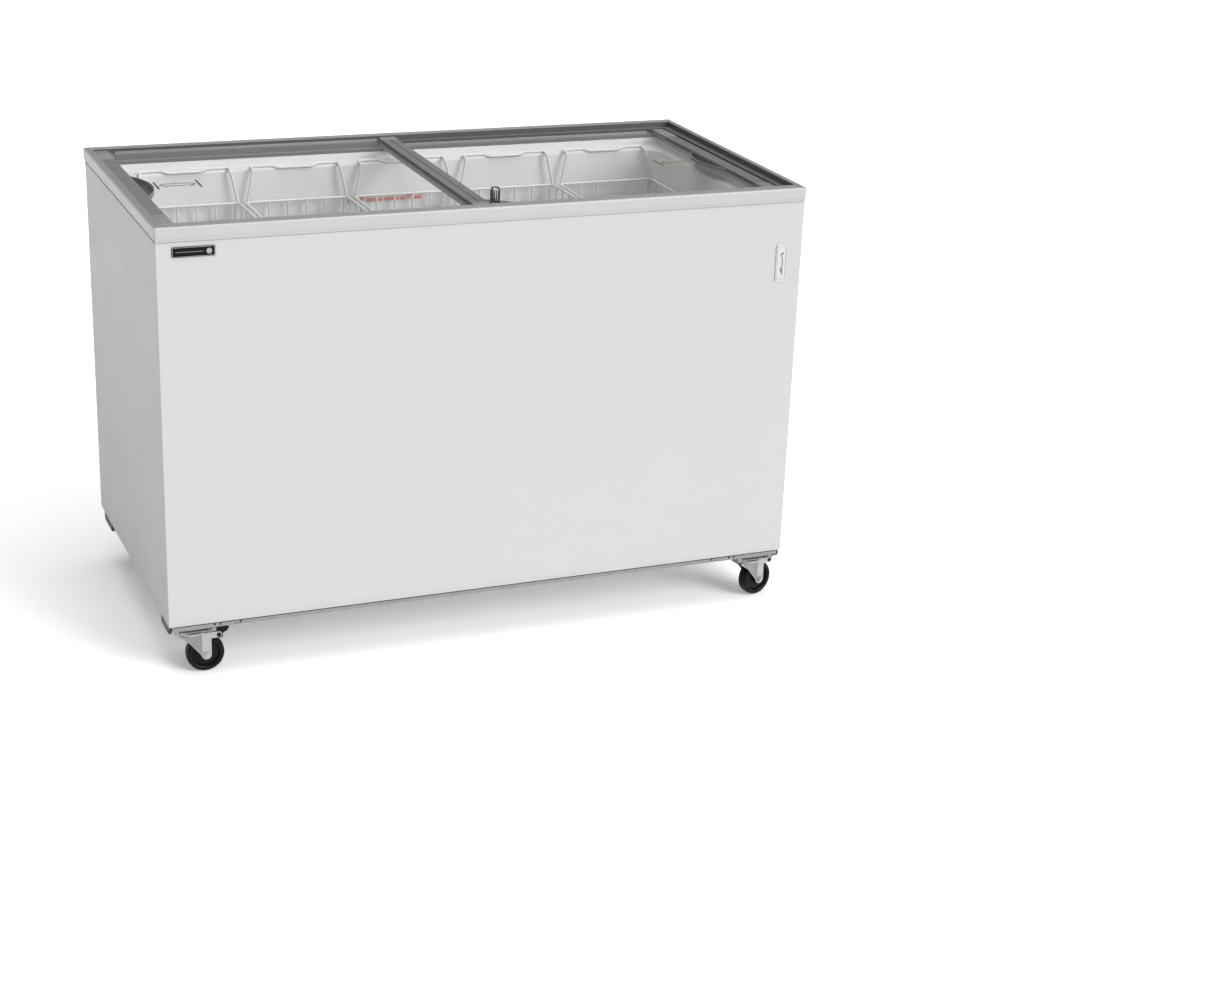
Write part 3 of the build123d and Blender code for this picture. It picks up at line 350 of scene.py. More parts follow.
def frame_plastic():
    """Satin grey frame profile with painted shade: light outer face, upward faces of the rim top painted
    darker, and inside the rim the track ledges painted dark grey and the track walls nearly black for the
    shade in the recesses.
    """
    material = surface("frame_grey", (0.39, 0.392, 0.395), 0.36, tone=(4, 0.02), rough_spread=0.05,
                       bumps=[("noise", 700, 0.06)], specular=0.4)
    tree = material.node_tree
    shader = tree.nodes["Principled BSDF"]
    face = shader.inputs["Base Color"].links[0].from_socket
    normal = tree.nodes.new("ShaderNodeSeparateXYZ")
    tree.links.new(tree.nodes.new("ShaderNodeNewGeometry").outputs["Normal"], normal.inputs["Vector"])
    upward = tree.nodes.new("ShaderNodeMapRange")
    upward.inputs["From Min"].default_value = 0.85
    upward.inputs["From Max"].default_value = 0.99
    tree.links.new(normal.outputs["Z"], upward.inputs["Value"])
    coordinates = tree.nodes.new("ShaderNodeTexCoord").outputs["Object"]
    streaks = add_texture(tree, coordinates, "noise", 25, (1, 1, 1), 3.0)
    # Painted shade: upward faces of the outer rim get a darker grey than the outer face.
    rim = mix_colors(tree, streaks, (0.245, 0.248, 0.25), (0.27, 0.273, 0.275))
    outer = mix_colors(tree, upward.outputs["Result"], face, rim)
    low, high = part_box("frame_rail_front")[0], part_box("frame_rail_right")[1]
    rim_width_x, rim_width_y = 14.7 * MM, 27.7 * MM
    # Painted shade in the recesses: track walls nearly black, upward track ledges dark grey.
    walls = mix_colors(tree, streaks, (0.070, 0.071, 0.072), (0.088, 0.089, 0.090))
    shaded_track_ledges = mix_colors(tree, streaks, (0.13, 0.132, 0.134), (0.155, 0.158, 0.16))
    inner = mix_colors(tree, upward.outputs["Result"], walls, shaded_track_ledges)
    place = tree.nodes.new("ShaderNodeSeparateXYZ")
    tree.links.new(coordinates, place.inputs["Vector"])
    both = tree.nodes.new("ShaderNodeMath")
    both.operation = "MULTIPLY"
    tree.links.new(inside(tree, place.outputs["X"], high.x - rim_width_x), both.inputs[0])
    tree.links.new(inside(tree, place.outputs["Y"], -low.y - rim_width_y), both.inputs[1])
    tree.links.new(mix_colors(tree, both.outputs["Value"], outer, inner), shader.inputs["Base Color"])
    return material


# ---------------------------------------------------------------- mesh helpers
def add_piece(name, builder, material, body, crease=35, replaces=()):
    """Turns a bmesh into a smooth-shaded piece that rides on a body."""
    bmesh.ops.recalc_face_normals(builder, faces=builder.faces)
    mesh = bpy.data.meshes.new(name)
    builder.to_mesh(mesh)
    builder.free()
    mesh.materials.append(MATERIALS[material])
    mesh.shade_smooth()
    mesh.set_sharp_from_angle(angle=radians(crease))
    piece = bpy.data.objects.new(name, mesh)
    bpy.context.scene.collection.objects.link(piece)
    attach(piece, body)
    if replaces:
        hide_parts(*replaces)
    return piece


def add_tube(builder, points, radius, sides=8, closed=False):
    """A round wire along a chain of points."""
    points = [Vector(p) for p in points]
    count = len(points)
    rings = []
    across = None
    for index, point in enumerate(points):
        before = points[index - 1] if closed or index > 0 else None
        after = points[(index + 1) % count] if closed or index < count - 1 else None
        arrive = (point - before).normalized() if before is not None else None
        leave = (after - point).normalized() if after is not None else None
        tangent = ((arrive or leave) + (leave or arrive)).normalized()
        if across is None:
            helper = Vector((0, 0, 1)) if abs(tangent.z) < 0.9 else Vector((1, 0, 0))
            across = tangent.cross(helper)
        across = (across - tangent * across.dot(tangent)).normalized()
        third = tangent.cross(across)
        ring = []
        for side in range(sides):
            angle = 2 * pi * side / sides
            ring.append(builder.verts.new(point + (across * cos(angle) + third * sin(angle)) * radius))
        rings.append(ring)
    spans = count if closed else count - 1
    for index in range(spans):
        join_loops(builder, rings[index], rings[(index + 1) % count])
    if not closed:
        builder.faces.new(rings[0])
        builder.faces.new(rings[-1])


def join_loops(builder, first, second):
    """Quads between two closed loops with the same number of points."""
    count = len(first)
    for index in range(count):
        after = (index + 1) % count
        builder.faces.new((first[index], first[after], second[after], second[index]))


def add_loft(builder, loops, cap_start=True, cap_end=True):
    """Joins closed loops of points into a skin, with flat ends."""
    rings = [[builder.verts.new(Vector(p)) for p in loop] for loop in loops]
    for first, second in zip(rings, rings[1:]):
        join_loops(builder, first, second)
    if cap_start:
        builder.faces.new(rings[0])
    if cap_end:
        builder.faces.new(rings[-1])
    return rings


def rounded_path(points, radius, steps=5, closed=False):
    """Replaces each corner of a chain of points by an arc."""
    points = [Vector(p) for p in points]
    count = len(points)
    path = []
    for index, point in enumerate(points):
        if not closed and index in (0, count - 1):
            path.append(point)
            continue
        back = points[index - 1] - point
        ahead = points[(index + 1) % count] - point
        turn = back.angle(ahead)
        reach = min(radius / tan(turn / 2), back.length * 0.49, ahead.length * 0.49)
        start = point + back.normalized() * reach
        end = point + ahead.normalized() * reach
        for step in range(steps + 1):
            t = step / steps
            path.append(start.lerp(point, t).lerp(point.lerp(end, t), t))
    return path


def rounded_rectangle(low, high, radius, z, steps=6):
    """Corner-rounded rectangle in the XY plane. low and high are (x, y)."""
    loop = []
    corners = ((high[0], high[1], 0), (low[0], high[1], 90), (low[0], low[1], 180), (high[0], low[1], 270))
    for x, y, start in corners:
        centre_x = x - radius if x == high[0] else x + radius
        centre_y = y - radius if y == high[1] else y + radius
        for step in range(steps + 1):
            angle = radians(start + 90 * step / steps)
            loop.append((centre_x + radius * cos(angle), centre_y + radius * sin(angle), z))
    return loop


def add_lathe(builder, axis_point, axis, profile, segments=24):
    """Turns a profile of (radius, distance along the axis) round an axis."""
    axis = Vector(axis).normalized()
    helper = Vector((0, 0, 1)) if abs(axis.z) < 0.9 else Vector((1, 0, 0))
    across = axis.cross(helper).normalized()
    third = axis.cross(across)
    loops = []
    for radius, along in profile:
        ring = []
        for index in range(segments):
            angle = 2 * pi * index / segments
            spread = (across * cos(angle) + third * sin(angle)) * radius
            ring.append(Vector(axis_point) + axis * along + spread)
        loops.append(ring)
    add_loft(builder, loops)


def add_slab(builder, low, high, bevel):
    """A box with all edges rounded."""
    made = bmesh.ops.create_cube(builder, size=1.0)
    centre = (Vector(low) + Vector(high)) / 2
    size = Vector(high) - Vector(low)
    for vert in made["verts"]:
        vert.co = centre + Vector(a * b for a, b in zip(vert.co, size))
    edges = {edge for vert in made["verts"] for edge in vert.link_edges}
    bmesh.ops.bevel(builder, geom=list(edges), offset=bevel, segments=2, affect="EDGES", profile=0.6)


def add_plate(builder, outline, base, thickness, to_world):
    """A flat shape with thickness. to_world turns (u, v, w) into a point, w being the height."""
    loops = [[to_world(u, v, w) for u, v in outline] for w in (base, base + thickness)]
    add_loft(builder, loops)


def add_screw_head(builder, point, axis, radius):
    """A domed screw head with a shallow round recess."""
    shares = ((1, 0), (1, 0.18), (0.85, 0.42), (0.45, 0.55), (0.4, 0.3))
    add_lathe(builder, point, axis, [(radius * out, radius * along) for out, along in shares], 20)


# ---------------------------------------------------------------- tank and baskets
def make_tank():
    """Folded liner: collar, rounded ledge for the baskets, walls, floor and the step at the right end."""
    low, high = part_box("inner_liner")
    skin = 1.2 * MM
    mouth = Vector((high.x - skin, high.y - skin))
    shelf, shelf_side = 20 * MM, 24 * MM
    hook_height, step_height = 4.4 * MM, 251.2 * MM
    tank = Vector((mouth.x - shelf, mouth.y - shelf_side))
    ledge_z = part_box("basket_1")[1].z - hook_height
    step_z = low.z + step_height
    floor_z = low.z + skin
    step_x = 345 * MM
    drain_radius, drain_points = 11 * MM, 20
    builder = bmesh.new()
    loops = []
    # share of the ledge's width, corner radius in millimetres, height
    levels = ((0.0, 8, high.z), (0.0, 8, ledge_z + 5 * MM), (0.08, 10, ledge_z + 1.4 * MM),
              (0.30, 16, ledge_z + 0.1 * MM), (0.75, 40, ledge_z), (0.93, 48, ledge_z - 1.2 * MM),
              (1.0, 50, ledge_z - 5 * MM), (1.0, 50, step_z))
    for inset, corner, z in levels:
        x = mouth.x - shelf * inset
        y = mouth.y - shelf_side * inset
        loops.append(rounded_rectangle((-x, -y), (x, y), corner * MM, z, 8))
    rings = add_loft(builder, loops, False, False)
    pit = []
    left = -tank.x + 0.6 * MM
    half = tank.y - 0.6 * MM
    for shrink, z in ((0, step_z), (0, floor_z + 14 * MM), (3, floor_z + 4 * MM), (12, floor_z)):
        loop = rounded_rectangle((left + shrink * MM, -half + shrink * MM),
                                 (step_x - shrink * MM, half - shrink * MM), (50 - shrink * 0.5) * MM, z, 8)
        pit.append(loop)
    pit_rings = add_loft(builder, pit, False, False)
    fill_between(builder, rings[-1], pit_rings[0])
    plug_low, plug_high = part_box("drain_plug")
    drain = Vector(((plug_low.x + plug_high.x) / 2, 0, floor_z))
    hole = []
    for index in range(drain_points):
        angle = 2 * pi * index / drain_points
        hole.append(builder.verts.new(drain + Vector((cos(angle), sin(angle), 0)) * drain_radius))
    fill_between(builder, pit_rings[-1], hole)
    tank_piece = add_piece("tank_liner", builder, "liner", CABINET, 50, ("inner_liner",))
    wall = tank_piece.modifiers.new("sheet", "SOLIDIFY")
    wall.thickness = 1.0 * MM
    wall.offset = 0
    return tank, ledge_z


def fill_between(builder, outer, inner):
    """Fills the flat region between two closed loops of vertices."""
    edges = []
    for loop in (outer, inner):
        for index, vert in enumerate(loop):
            after = loop[(index + 1) % len(loop)]
            edge = builder.edges.get((vert, after))
            edges.append(edge or builder.edges.new((vert, after)))
    bmesh.ops.triangle_fill(builder, edges=edges, use_beauty=True, use_dissolve=False)


def make_basket(number):
    """A welded basket of coated round wire with a hanging hoop at each end."""
    node = f"basket_{number}"
    low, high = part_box(node)
    centre_x = (low.x + high.x) / 2
    wire, rim, thick = 2.2 * MM, 2.6 * MM, 2.9 * MM
    rim_drop, corner = 70.4 * MM, 14 * MM
    long_wires, long_pitch = 6, 40 * MM
    cross_wires, cross_pitch = 13, 37.5 * MM
    half_x = (high.x - low.x) / 2 - thick
    half_y = high.y - 25 * MM - thick
    rim_z = high.z - rim_drop
    base_z = low.z + wire
    taper = 8 * MM
    builder = bmesh.new()

    def loop(inset, z, radius):
        corners = [(half_x - inset, half_y - inset), (-half_x + inset, half_y - inset),
                   (-half_x + inset, -half_y + inset), (half_x - inset, -half_y + inset)]
        path = rounded_path([(centre_x + x, y, z) for x, y in corners], corner, 5, True)
        add_tube(builder, path, radius, 8, True)

    depth = rim_z - base_z
    loop(0, rim_z, rim)
    for share in (0.34, 0.68):
        loop(taper * share + wire, rim_z - depth * share, wire)
    for index in range(long_wires):
        x = centre_x + (index - (long_wires - 1) / 2) * long_pitch
        squeeze = (x - centre_x) * (1 - taper / half_x)
        path = [(x, -half_y, rim_z), (centre_x + squeeze, -half_y + taper, base_z),
                (centre_x + squeeze, half_y - taper, base_z), (x, half_y, rim_z)]
        add_tube(builder, rounded_path(path, 10 * MM, 4), wire, 8)
    for index in range(cross_wires):
        y = (index - (cross_wires - 1) / 2) * cross_pitch
        squeeze = y * (1 - taper / half_y)
        path = [(centre_x - half_x, y, rim_z), (centre_x - half_x + taper, squeeze, base_z + 2 * wire),
                (centre_x + half_x - taper, squeeze, base_z + 2 * wire), (centre_x + half_x, y, rim_z)]
        add_tube(builder, rounded_path(path, 10 * MM, 4), wire, 8)
    top = 95 * MM - thick
    for side in (-1, 1):
        bar_y = high.y - 4 * MM
        bar_z = high.z - 4 * MM + thick - 0.4 * MM
        dip, dip_y, dip_z = 34 * MM, bar_y - 8 * MM, bar_z - 3 * MM
        path = [(-half_x + 3 * MM, half_y - 3 * MM, rim_z), (-top, half_y + 1 * MM, bar_z - 3 * MM),
                (-top, bar_y, bar_z), (-dip - 14 * MM, bar_y, bar_z),
                (-dip, dip_y, dip_z), (dip, dip_y, dip_z),
                (dip + 14 * MM, bar_y, bar_z), (top, bar_y, bar_z),
                (top, half_y + 1 * MM, bar_z - 3 * MM), (half_x - 3 * MM, half_y - 3 * MM, rim_z)]
        path = [(centre_x + x, side * y, z) for x, y, z in path]
        add_tube(builder, rounded_path(path, 5 * MM, 4), thick, 10)
    add_piece(f"{node}_wires", builder, "basket_wire", node, 60, (node,))


def make_load_line(tank, ledge_z):
    """Red fill limit on the tank's back wall: a strip of film, dashes and two downward triangles."""
    left, length = -122 * MM, 170 * MM
    line_z = ledge_z - 80 * MM
    wall_y = tank.y - 0.55 * MM

    def on_wall(u, v, w):
        return Vector((left + u, wall_y - w, line_z + v))

    film = bmesh.new()
    add_plate(film, [(0, -9 * MM), (length, -9 * MM), (length, 13 * MM), (0, 13 * MM)], 0, 0.15 * MM, on_wall)
    add_piece("load_line_film", film, "film", CABINET)
    marks = bmesh.new()
    dash, half = [(4, 30), (44, 80), (84, 116), (120, 130), (148, 166)], 3.5 * MM
    for start, end in dash:
        outline = [(start * MM, -half), (end * MM, -half), (end * MM, half), (start * MM, half)]
        add_plate(marks, outline, 0.2 * MM, 0.12 * MM, on_wall)
    for centre in (36, 139):
        tip = [(centre * MM, -4 * MM), ((centre + 7) * MM, 8 * MM), ((centre - 7) * MM, 8 * MM)]
        add_plate(marks, tip, 0.2 * MM, 0.12 * MM, on_wall)
    add_piece("load_line_marks", marks, "mark_red", CABINET)


# ---------------------------------------------------------------- lids
def half_moon_loop(face_x, direction, reach, half, z, steps=20):
    """Closed loop: an arc that bulges from a straight side."""
    radius = (half * half + reach * reach) / (2 * reach)
    loop = []
    for step in range(steps + 1):
        y = -half + 2 * half * step / steps
        bulge = sqrt(max(radius * radius - y * y, 0)) - (radius - reach)
        loop.append((face_x + direction * max(bulge, 0.0), y, z))
    for step in range(1, steps):
        loop.append((face_x, half - 2 * half * step / steps, z))
    return loop


def make_grip(lid, direction):
    """Moulded finger cup: a rolled lip round a scooped half-moon hollow, with a lighter grey tube along the
    lip as a painted highlight.
    """
    node = f"{lid}_lid_grip"
    low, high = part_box(node)
    face_x = low.x if direction > 0 else high.x
    reach, half = high.x - low.x, high.y
    glass_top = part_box(f"{lid}_lid_glass")[1].z
    bottom = low.z
    builder = bmesh.new()
    # share of the reach and of the half length, start offset from the face, height
    levels = [(0.30, 0.55, 6.0, bottom), (0.62, 0.80, 2.5, bottom + 1.2 * MM),
              (0.88, 0.94, 0.4, bottom + 5 * MM), (1.0, 1.0, 0.0, bottom + 9.5 * MM),
              (1.0, 1.0, 0.0, glass_top), (1.0, 1.0, 0.0, high.z - 0.5 * MM),
              (0.97, 0.985, 0.3, high.z), (0.92, 0.965, 1.2, high.z), (0.88, 0.95, 1.6, high.z - 0.8 * MM),
              (0.82, 0.92, 2.0, glass_top - 4 * MM), (0.70, 0.84, 2.6, glass_top - 9 * MM),
              (0.48, 0.70, 4.0, bottom + 3.0 * MM), (0.22, 0.45, 6.5, bottom + 2.0 * MM)]
    loops = []
    for reach_share, half_share, inset, z in levels:
        start = face_x + direction * inset * MM
        bulge = reach * reach_share - inset * MM * 0.6
        loops.append(half_moon_loop(start, direction, bulge, half * half_share, z))
    add_loft(builder, loops)
    add_piece(f"{lid}_lid_finger_cup", builder, "grip_grey", f"{lid}_lid", 40, (node,))
    # Lighter grey tube along the lip's arc: painted highlight on the lip.
    edge = bmesh.new()
    arc = half_moon_loop(face_x, direction, reach, half, high.z - 1.0 * MM)[:21]
    add_tube(edge, arc, 1.0 * MM, 8)
    add_piece(f"{lid}_lid_cup_lip_highlight", edge, "profile_cap", f"{lid}_lid")


def make_sticker(lid, direction):
    """Slide-direction film on the glass beside the grip: two end bars and a double arrow."""
    low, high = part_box(f"{lid}_lid_grip")
    glass_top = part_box(f"{lid}_lid_glass")[1].z
    edge = (high.x if direction > 0 else low.x) + direction * 4 * MM
    length, half = 88 * MM, 21 * MM

    def on_glass(u, v, w):
        return Vector((edge + direction * u, v, glass_top + w))

    film = bmesh.new()
    add_plate(film, [(0, -half), (length, -half), (length, half), (0, half)], 0.05 * MM, 0.1 * MM, on_glass)
    add_piece(f"{lid}_lid_film", film, "film", f"{lid}_lid")
    marks = bmesh.new()
    base, ink = 0.2 * MM, 0.1 * MM
    bar, bar_half, line = 4.0 * MM, 28 * MM, 1.7 * MM
    for u in (1 * MM, length - bar - 1 * MM):
        add_plate(marks, [(u, -bar_half), (u + bar, -bar_half), (u + bar, bar_half), (u, bar_half)],
                  base, ink, on_glass)
    for v in (-8 * MM, 8 * MM):
        outline = [(17 * MM, v - line), (length - 17 * MM, v - line),
                   (length - 17 * MM, v + line), (17 * MM, v + line)]
        add_plate(marks, outline, base, ink, on_glass)
    for tip, way in ((8 * MM, 1), (length - 8 * MM, -1)):
        for side in (-1, 1):
            outline = [(tip, 0), (tip + way * 13 * MM, side * 15 * MM), (tip + way * 13 * MM, side * 11 * MM),
                       (tip + way * 3.5 * MM, 0)]
            add_plate(marks, outline, base, ink, on_glass)
    add_piece(f"{lid}_lid_arrows", marks, "mark_brown", f"{lid}_lid")


def make_profile_caps(lid):
    """Moulded caps over both ends of a lid's two profiles."""
    for part, reach in (("end", 74 * MM), ("middle", 24 * MM)):
        low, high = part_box(f"{lid}_lid_{part}_profile")
        builder = bmesh.new()
        for side in (-1, 1):
            outer = side * (high.y + 0.4 * MM)
            inner = side * (high.y - reach)
            ends = sorted((outer, inner))
            add_slab(builder, (low.x - 0.4 * MM, ends[0], low.z + 1.4 * MM),
                     (high.x + 0.4 * MM, ends[1], high.z + 0.5 * MM), 0.5 * MM)
        add_piece(f"{lid}_lid_{part}_caps", builder, "profile_cap", f"{lid}_lid")


def make_lid_seals():
    """Brush seal under the upper lid's middle profile and slide strips under both panes."""
    low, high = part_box("upper_lid_middle_profile")
    lower_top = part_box("lower_lid_middle_profile")[1].z
    builder = bmesh.new()
    add_slab(builder, (low.x + 6 * MM, low.y + 30 * MM, lower_top + 0.6 * MM),
             (low.x + 12 * MM, high.y - 30 * MM, low.z), 0.3 * MM)
    add_piece("upper_lid_brush_seal", builder, "seal_black", "upper_lid")
    for lid in ("upper", "lower"):
        pane_low, pane_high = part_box(f"{lid}_lid_glass")
        end_low, end_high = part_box(f"{lid}_lid_end_profile")
        builder = bmesh.new()
        start = max(pane_low.x, min(end_high.x, pane_high.x)) if lid == "upper" else pane_low.x
        stop = pane_high.x if lid == "upper" else end_low.x
        for side in (-1, 1):
            edges = sorted((side * (pane_high.y - 5 * MM), side * (pane_high.y + 0.4 * MM)))
            add_slab(builder, (start + 14 * MM, edges[0], pane_low.z - 0.9 * MM),
                     (stop - 14 * MM, edges[1], pane_high.z + 0.6 * MM), 0.3 * MM)
        add_piece(f"{lid}_lid_slide_strips", builder, "profile_cap", f"{lid}_lid")


# ---------------------------------------------------------------- front fittings
def make_badge():
    """Thin white border, a plain six-armed snowflake and a grey hairline on the blank badge."""
    low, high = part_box("badge_plate")
    face = low.y
    width, height = high.x - low.x, high.z - low.z

    def on_face(u, v, w):
        return Vector((low.x + u, face - w, low.z + v))

    marks = bmesh.new()
    inset, line, corner, ink = 1.2 * MM, 0.28 * MM, 2.2 * MM, 0.15 * MM
    outer = rounded_rectangle((inset, inset), (width - inset, height - inset), corner, 0, 5)
    inner = rounded_rectangle((inset + line, inset + line), (width - inset - line, height - inset - line),
                              corner - line, 0, 5)
    loops = [[on_face(u, v, 0) for u, v, _ in outer], [on_face(u, v, ink) for u, v, _ in outer],
             [on_face(u, v, ink) for u, v, _ in inner], [on_face(u, v, 0) for u, v, _ in inner]]
    rings = add_loft(marks, loops, False, False)
    join_loops(marks, rings[-1], rings[0])
    centre = (width - 11 * MM, height / 2)
    for arm in range(6):
        angle = pi * arm / 3
        along = Vector((cos(angle), sin(angle)))
        beside = Vector((-along.y, along.x))
        start, tip, half = 0.6 * MM, 5.6 * MM, 0.35 * MM
        corners = [along * start - beside * half, along * tip - beside * half,
                   along * tip + beside * half, along * start + beside * half]
        add_plate(marks, [(centre[0] + c.x, centre[1] + c.y) for c in corners], 0, ink, on_face)
        for side in (-1, 1):
            root = along * 3.0 * MM
            end = root + (along + beside * side * 1.2) * 1.5 * MM
            half = along * 0.3 * MM
            corners = [root - half, end - half, end + half, root + half]
            add_plate(marks, [(centre[0] + c.x, centre[1] + c.y) for c in corners], 0, ink, on_face)
    add_piece("badge_marks", marks, "mark_white", CABINET)
    bars = bmesh.new()
    bar_half = 0.35 * MM
    bar_low, bar_high = height / 2 - bar_half, height / 2 + bar_half
    outline = [(7 * MM, bar_low), (width - 22 * MM, bar_low), (width - 22 * MM, bar_high), (7 * MM, bar_high)]
    add_plate(bars, outline, 0, ink, on_face)
    add_piece("badge_bar", bars, "line_grey", CABINET)


def make_gauge():
    """Face of the temperature gauge: a bowed grey line and two dark end wedges that paint the shadow on the
    curved wall of the gauge's window, and three dots.
    """
    low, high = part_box("thermometer_bezel")
    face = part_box("thermometer_gauge")[0].y

    def on_face(u, v, w):
        return Vector((low.x + u * MM, face - w * MM, high.z - v * MM))

    # Painted shadow of the window's curved recess wall: a bowed grey line and two dark wedges.
    window_shadow = bmesh.new()
    start, middle, end = 19.7, 37.0, 53.7
    path = []
    for step in range(17):
        v = start + (end - start) * step / 16
        share = (v - middle) / (end - middle)
        path.append(on_face(10.0 + 5.0 * (1 - share * share), v, 0.45))
    add_tube(window_shadow, path, 0.75 * MM, 8)
    wedges = (((9.6, 19.5), (16.5, 16.0), (15.6, 21.5)), ((9.6, 54.2), (15.4, 49.0), (15.8, 63.5)))
    for wedge in wedges:
        add_plate(window_shadow, wedge, 0.05, 0.5, on_face)
    add_piece("gauge_window_shadow", window_shadow, "gauge_window_shadow_grey", CABINET)
    for index, (v, material) in enumerate(((32.4, "mark_orange"), (39.9, "mark_orange"), (47.6, "mark_red"))):
        dot = bmesh.new()
        add_lathe(dot, on_face(11.2, v, 0.0), (0, -1, 0),
                  [(1.5 * MM, 0), (1.5 * MM, 0.2 * MM), (1.0 * MM, 0.3 * MM)])
        add_piece(f"gauge_dot_{index + 1}", dot, material, CABINET)
    lines = bmesh.new()
    width, height = (high.x - low.x) / MM, (high.z - low.z) / MM
    side, end = 2.6, 4.6
    corners = [(side, end), (width - side, end), (width - side, height - end), (side, height - end)]
    front = (face - low.y) / MM
    path = rounded_path([on_face(u, v, front) for u, v in corners], 4 * MM, 5, True)
    add_tube(lines, path, 0.4 * MM, 6, True)
    add_piece("gauge_outline", lines, "line_grey", CABINET)


def make_seam_shadows():
    """Painted shadows at the joints of the sheets: a dark grey line under the frame's skirt, a black strip
    under the panels' bottom edge, and black backings behind the pan's holes.
    """
    skirt_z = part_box("frame_rail_front")[0].z
    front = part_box("front_panel")[0]
    side_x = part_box("right_panel")[1].x
    reach_x, reach_y = side_x + 0.6 * MM, -front.y + 0.6 * MM
    # Dark grey line round the frame's skirt: painted shadow of the skirt's overhang.
    skirt_shadow_line = bmesh.new()
    loop = rounded_rectangle((-reach_x, -reach_y), (reach_x, reach_y), 2 * MM, skirt_z + 0.3 * MM, 3)
    add_tube(skirt_shadow_line, loop, 0.5 * MM, 6, True)
    add_piece("frame_skirt_shadow_line", skirt_shadow_line, "line_grey", CABINET)
    pan_low, pan_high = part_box("base_pan")
    joints = bmesh.new()
    lip, gap, shadow_line_height = 1.5 * MM, 0.3 * MM, 3.2 * MM
    hole_spans = ((-566 * MM, -500 * MM), (484 * MM, 548 * MM))
    for side in (-1, 1):
        # Black strip just under the panel's bottom edge: painted shadow of the gap between panel and pan.
        ends = sorted((side * (pan_high.y + 0.25 * MM), side * (pan_high.y - 1 * MM)))
        add_slab(joints, (pan_low.x + 9 * MM, ends[0], front.z - shadow_line_height),
                 (pan_high.x - 9 * MM, ends[1], front.z - 0.05 * MM), 0.1 * MM)
        # Black backings behind the pan's holes: painted shade seen through them.
        ends = sorted((side * (pan_high.y - lip - gap), side * (pan_high.y - lip - gap - 1 * MM)))
        for start, stop in hole_spans:
            add_slab(joints, (start, ends[0], pan_low.z + 0.5 * MM),
                     (stop, ends[1], front.z - 1.8 * MM), 0.1 * MM)
    add_piece("base_pan_shadow_strips", joints, "seal_black", CABINET)


# ---------------------------------------------------------------- lock, casters and small metal pieces
def make_lock_details():
    """Collar of the lock barrel, and black ridges round the barrel that paint in the dark reflection bands of
    its chrome.
    """
    low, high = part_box("lock_barrel")
    centre = Vector(((low.x + high.x) / 2, (low.y + high.y) / 2, low.z))
    radius = (high.x - low.x) / 2
    tall = high.z - low.z
    builder = bmesh.new()
    profile = [(radius, 0), (radius + 2.2 * MM, 0), (radius + 2.2 * MM, 1.4 * MM),
               (radius + 1.2 * MM, 2.4 * MM), (radius + 0.1 * MM, 2.8 * MM), (radius, 2.8 * MM)]
    add_lathe(builder, centre, (0, 0, 1), profile, 32)
    add_piece("lock_collar", builder, "lock_chrome", "upper_lid")
    # Black ridges round the barrel: painted dark reflection bands of the chrome.
    reflection_bands = bmesh.new()
    count, foot_z, end_gap = 12, 4 * MM, 9 * MM
    for index in range(count):
        angle = 2 * pi * index / count
        way = Vector((cos(angle), sin(angle), 0))
        foot = centre + way * (radius + 0.1 * MM) + Vector((0, 0, foot_z))
        add_tube(reflection_bands, [foot, foot + Vector((0, 0, tall - end_gap))], 0.9 * MM, 8)
    add_piece("lock_reflection_bands", reflection_bands, "seal_black", "upper_lid")


def caster_names():
    """Names of the four casters, from the frame's bodies."""
    return [name[len("caster_fork_"):] for name in frame["bodies"] if name.startswith("caster_fork_")]


def joint(name):
    """A joint of the frame by name."""
    return next(item for item in frame["joints"] if item["name"] == name)


def make_leg_plates(name, swivel):
    """Raised strip down both legs of a caster's fork, rounded round the axle, and a flat web beside it
    painted darker grey for the shade on the real web's angled face.
    """
    spin = joint(f"wheel_spin_{name}")
    hub = Vector(spin["pos_m"])
    across = Vector(spin["axis"]).normalized()
    ahead = Vector((hub.x - swivel.x, hub.y - swivel.y, 0)).normalized()
    half = 8.6 * MM
    leg_face = 17 * MM  # outer face of a leg, from the caster's middle
    crown = 80 * MM - hub.z
    outline = [(half, crown + 4 * MM), (-half, crown + 4 * MM)]
    steps = 12
    for step in range(steps + 1):
        angle = pi + pi * step / steps
        outline.append((half * cos(angle), half * sin(angle)))
    near, far = -half - 0.6 * MM, -51 * MM
    web = [(near, crown + 3.5 * MM), (far, crown + 3.5 * MM), (far, crown + 0.6 * MM),
           (-32.5 * MM, 29.2 * MM), (near, 2 * MM)]
    plates, shaded_webs = bmesh.new(), bmesh.new()
    for side in (-1, 1):
        def on_leg(u, v, w):
            return hub + ahead * u + Vector((0, 0, v)) + across * side * w
        add_plate(plates, outline, leg_face, 0.9 * MM, on_leg)
        # Flat web in the leg's plane, coloured darker as painted shade.
        add_plate(shaded_webs, web, leg_face, 0.35 * MM, on_leg)
    add_piece(f"caster_leg_plates_{name}", plates, "zinc", f"caster_fork_{name}")
    add_piece(f"caster_painted_shade_webs_{name}", shaded_webs, "web_painted_shade", f"caster_fork_{name}")


